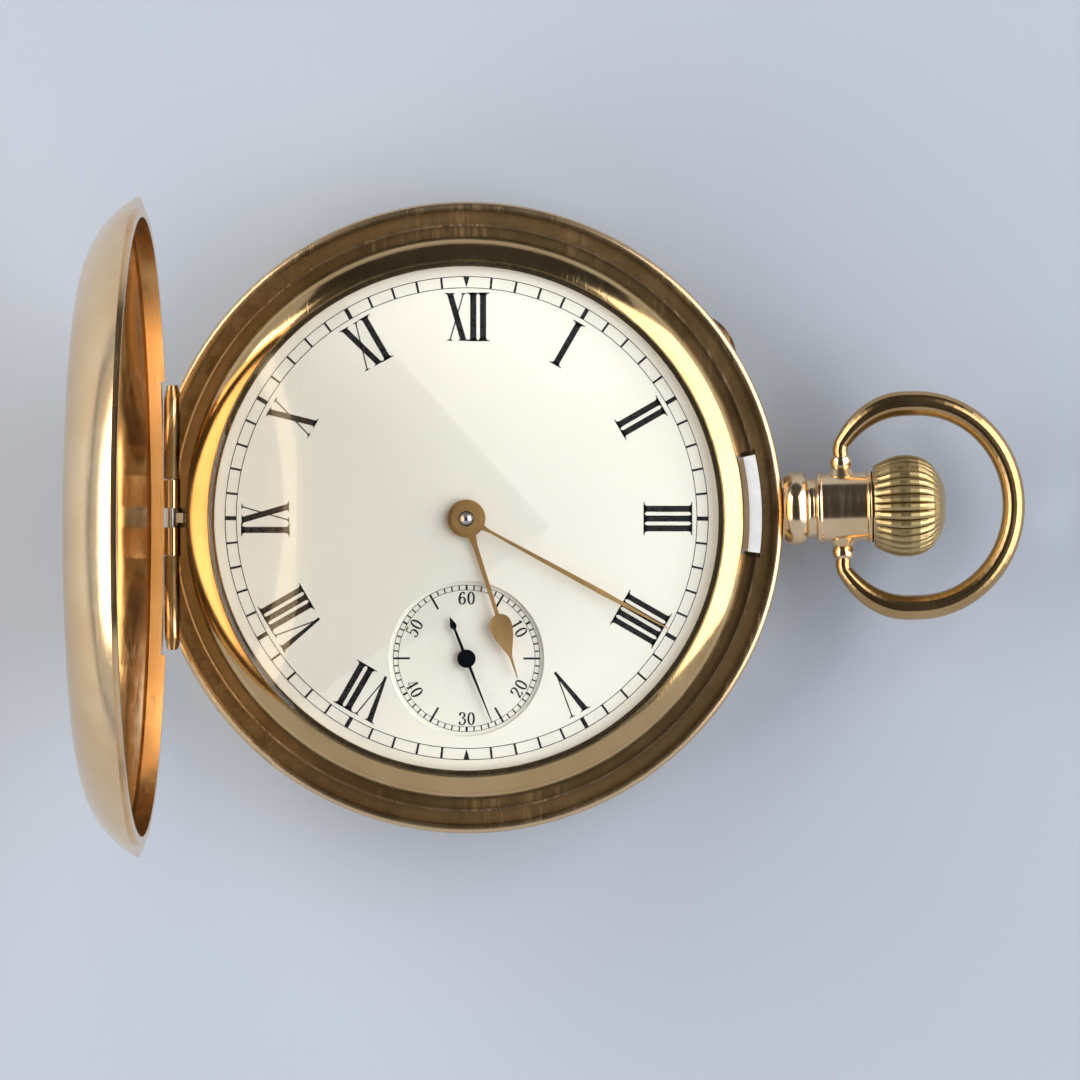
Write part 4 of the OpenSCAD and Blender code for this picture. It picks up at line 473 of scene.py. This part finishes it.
def digit(figure):
    """Outlines of one figure, one unit high and 0.6 wide."""
    thin, thick = 0.065, 0.165
    if figure == "0":
        loop = [(0.3 + 0.23 * math.sin(t), 0.5 + 0.5 * math.cos(t)) for t in
                [2 * math.pi * i / 20 for i in range(21)]]
        return pen(loop, thin, thick, False)
    if figure == "1":
        return (pen([(0.3, 1.0), (0.3, 0.0)], thin, thick, False)
                + pen([(0.12, 0.8), (0.3, 0.98)], thin, 0.07, False)
                + pen([(0.12, 0.0), (0.48, 0.0)], thin, thin, False))
    if figure == "2":
        return (pen([(0.1, 0.76), (0.16, 0.94), (0.31, 1.0), (0.49, 0.9), (0.51, 0.7), (0.38, 0.45),
                     (0.18, 0.2), (0.07, 0.04)], thin, thick)
                + pen([(0.07, 0.04), (0.3, 0.07), (0.46, 0.02), (0.54, 0.2)], thin, thin * 1.6)
                + dot(0.12, 0.76, 0.07))
    if figure == "3":
        return (pen([(0.1, 0.8), (0.18, 0.96), (0.32, 1.0), (0.48, 0.9), (0.47, 0.68), (0.27, 0.55)],
                    thin, thick)
                + pen([(0.27, 0.55), (0.48, 0.46), (0.54, 0.26), (0.44, 0.05), (0.27, 0.0), (0.12, 0.06),
                       (0.08, 0.2)], thin, thick) + dot(0.12, 0.8, 0.07) + dot(0.1, 0.2, 0.07))
    if figure == "4":
        return (pen([(0.4, 1.0), (0.04, 0.28)], thin, 0.05, False)
                + pen([(0.04, 0.28), (0.58, 0.28)], thin, thin, False)
                + pen([(0.4, 1.0), (0.4, 0.0)], thin, thick, False)
                + pen([(0.26, 0.0), (0.54, 0.0)], thin, thin, False))
    if figure == "5":
        return (pen([(0.14, 0.98), (0.5, 1.0)], 0.09, 0.09, False)
                + pen([(0.15, 1.0), (0.12, 0.52)], thin, 0.06, False)
                + pen([(0.12, 0.54), (0.3, 0.62), (0.5, 0.52), (0.54, 0.3), (0.44, 0.06), (0.26, 0.0),
                       (0.1, 0.08)], thin, thick) + dot(0.11, 0.14, 0.07))
    return (pen([(0.48, 0.88), (0.38, 0.99), (0.22, 0.9), (0.1, 0.6), (0.08, 0.35), (0.14, 0.1), (0.3, 0.0),
                 (0.47, 0.1), (0.53, 0.3), (0.45, 0.52), (0.3, 0.59), (0.14, 0.48), (0.09, 0.3)], thin, thick)
            + dot(0.47, 0.86, 0.07))


figures = []
for text, clockwise, upside in [("60", 0, 0), ("10", 60, 0), ("20", 120, 180), ("30", 180, 180),
                                ("40", 240, 180), ("50", 300, 0)]:
    for i, figure in enumerate(text):
        for shape in digit(figure):
            drawn = [(x - 0.3 + (i - 0.5) * FIGURE_PITCH, y - 0.5) for x, y in shape]
            if upside:
                drawn = [(-x, -y) for x, y in drawn]
            figures.append(turned(drawn, clockwise, SECONDS_AT, FIGURE_RADIUS))
sheet_mesh("seconds_figures", figures, SECONDS_TOP - PRINT_SINK, SECONDS_TOP + PRINT_RISE, "case",
           materials["ink"])


# Floor, world and lamps
def plain(name, colour, rough=0.7):
    f = Finish(name)
    f.to("Base Color", f.tint(f.noise(14, 2.0), tuple(0.97 * c for c in colour), colour))
    f.to("Roughness", f.spread(f.noise(500, 3.0), 0.3, 0.7, rough, rough + 0.1))
    return f.mat


def panel(name, points, faces, finish):
    mesh = bpy.data.meshes.new(name)
    mesh.from_pydata(points, [], faces)
    mesh.materials.append(finish)
    made = bpy.data.objects.new(name, mesh)
    scene.collection.objects.link(made)
    return made


SIDE = 3.0  # half a side of the floor, in metres
panel("floor", [(-SIDE, -SIDE, 0), (SIDE, -SIDE, 0), (SIDE, SIDE, 0), (-SIDE, SIDE, 0)], [[0, 1, 2, 3]],
      plain("floor_paper", (0.445, 0.485, 0.55)))

# A dark arch over the watch, unseen by the camera, for the polished metal to reflect: radius and half width,
# in metres
CANOPY, HALF = 0.7, 0.5
rows = [math.radians(a) for a in range(4, 127, 6)]
arch = [(x, CANOPY * math.cos(a), CANOPY * math.sin(a)) for a in rows for x in (-HALF, HALF)]
quads = [[2 * i, 2 * i + 1, 2 * i + 3, 2 * i + 2] for i in range(len(rows) - 1)]
flag = panel("dark_canopy", arch, quads, plain("canopy_cloth", (0.055, 0.055, 0.058), 0.85))
flag.visible_camera = False

world = bpy.data.worlds.new("studio")
world.use_nodes = True
sky = world.node_tree.nodes["Background"]
sky.inputs["Color"].default_value = (0.50, 0.545, 0.64, 1)
sky.inputs["Strength"].default_value = 1.05
scene.world = world


def softbox(name, around, up, away, wide, tall, power, colour):
    """A rectangular lamp that looks at the watch: bearing and height in degrees, distance and sides in
    metres, power in watts."""
    light = bpy.data.lights.new(name, "AREA")
    light.shape = "RECTANGLE"
    light.size, light.size_y = wide, tall
    light.energy = power
    light.color = colour
    lamp = bpy.data.objects.new(name, light)
    a, e = math.radians(around), math.radians(up)
    lamp.location = Vector((math.cos(a) * math.cos(e), math.sin(a) * math.cos(e), math.sin(e))) * away
    lamp.rotation_mode = "QUATERNION"
    lamp.rotation_quaternion = lamp.location.to_track_quat("Z", "Y")
    lamp.visible_camera = False
    scene.collection.objects.link(lamp)


softbox("softbox_right", 10, 32, 0.5, 0.72, 0.56, 3.7, (0.97, 0.98, 1.0))
softbox("softbox_left", 174, 36, 0.5, 0.62, 0.30, 2.7, (1.0, 0.97, 0.92))

scene.view_settings.view_transform = "Standard"
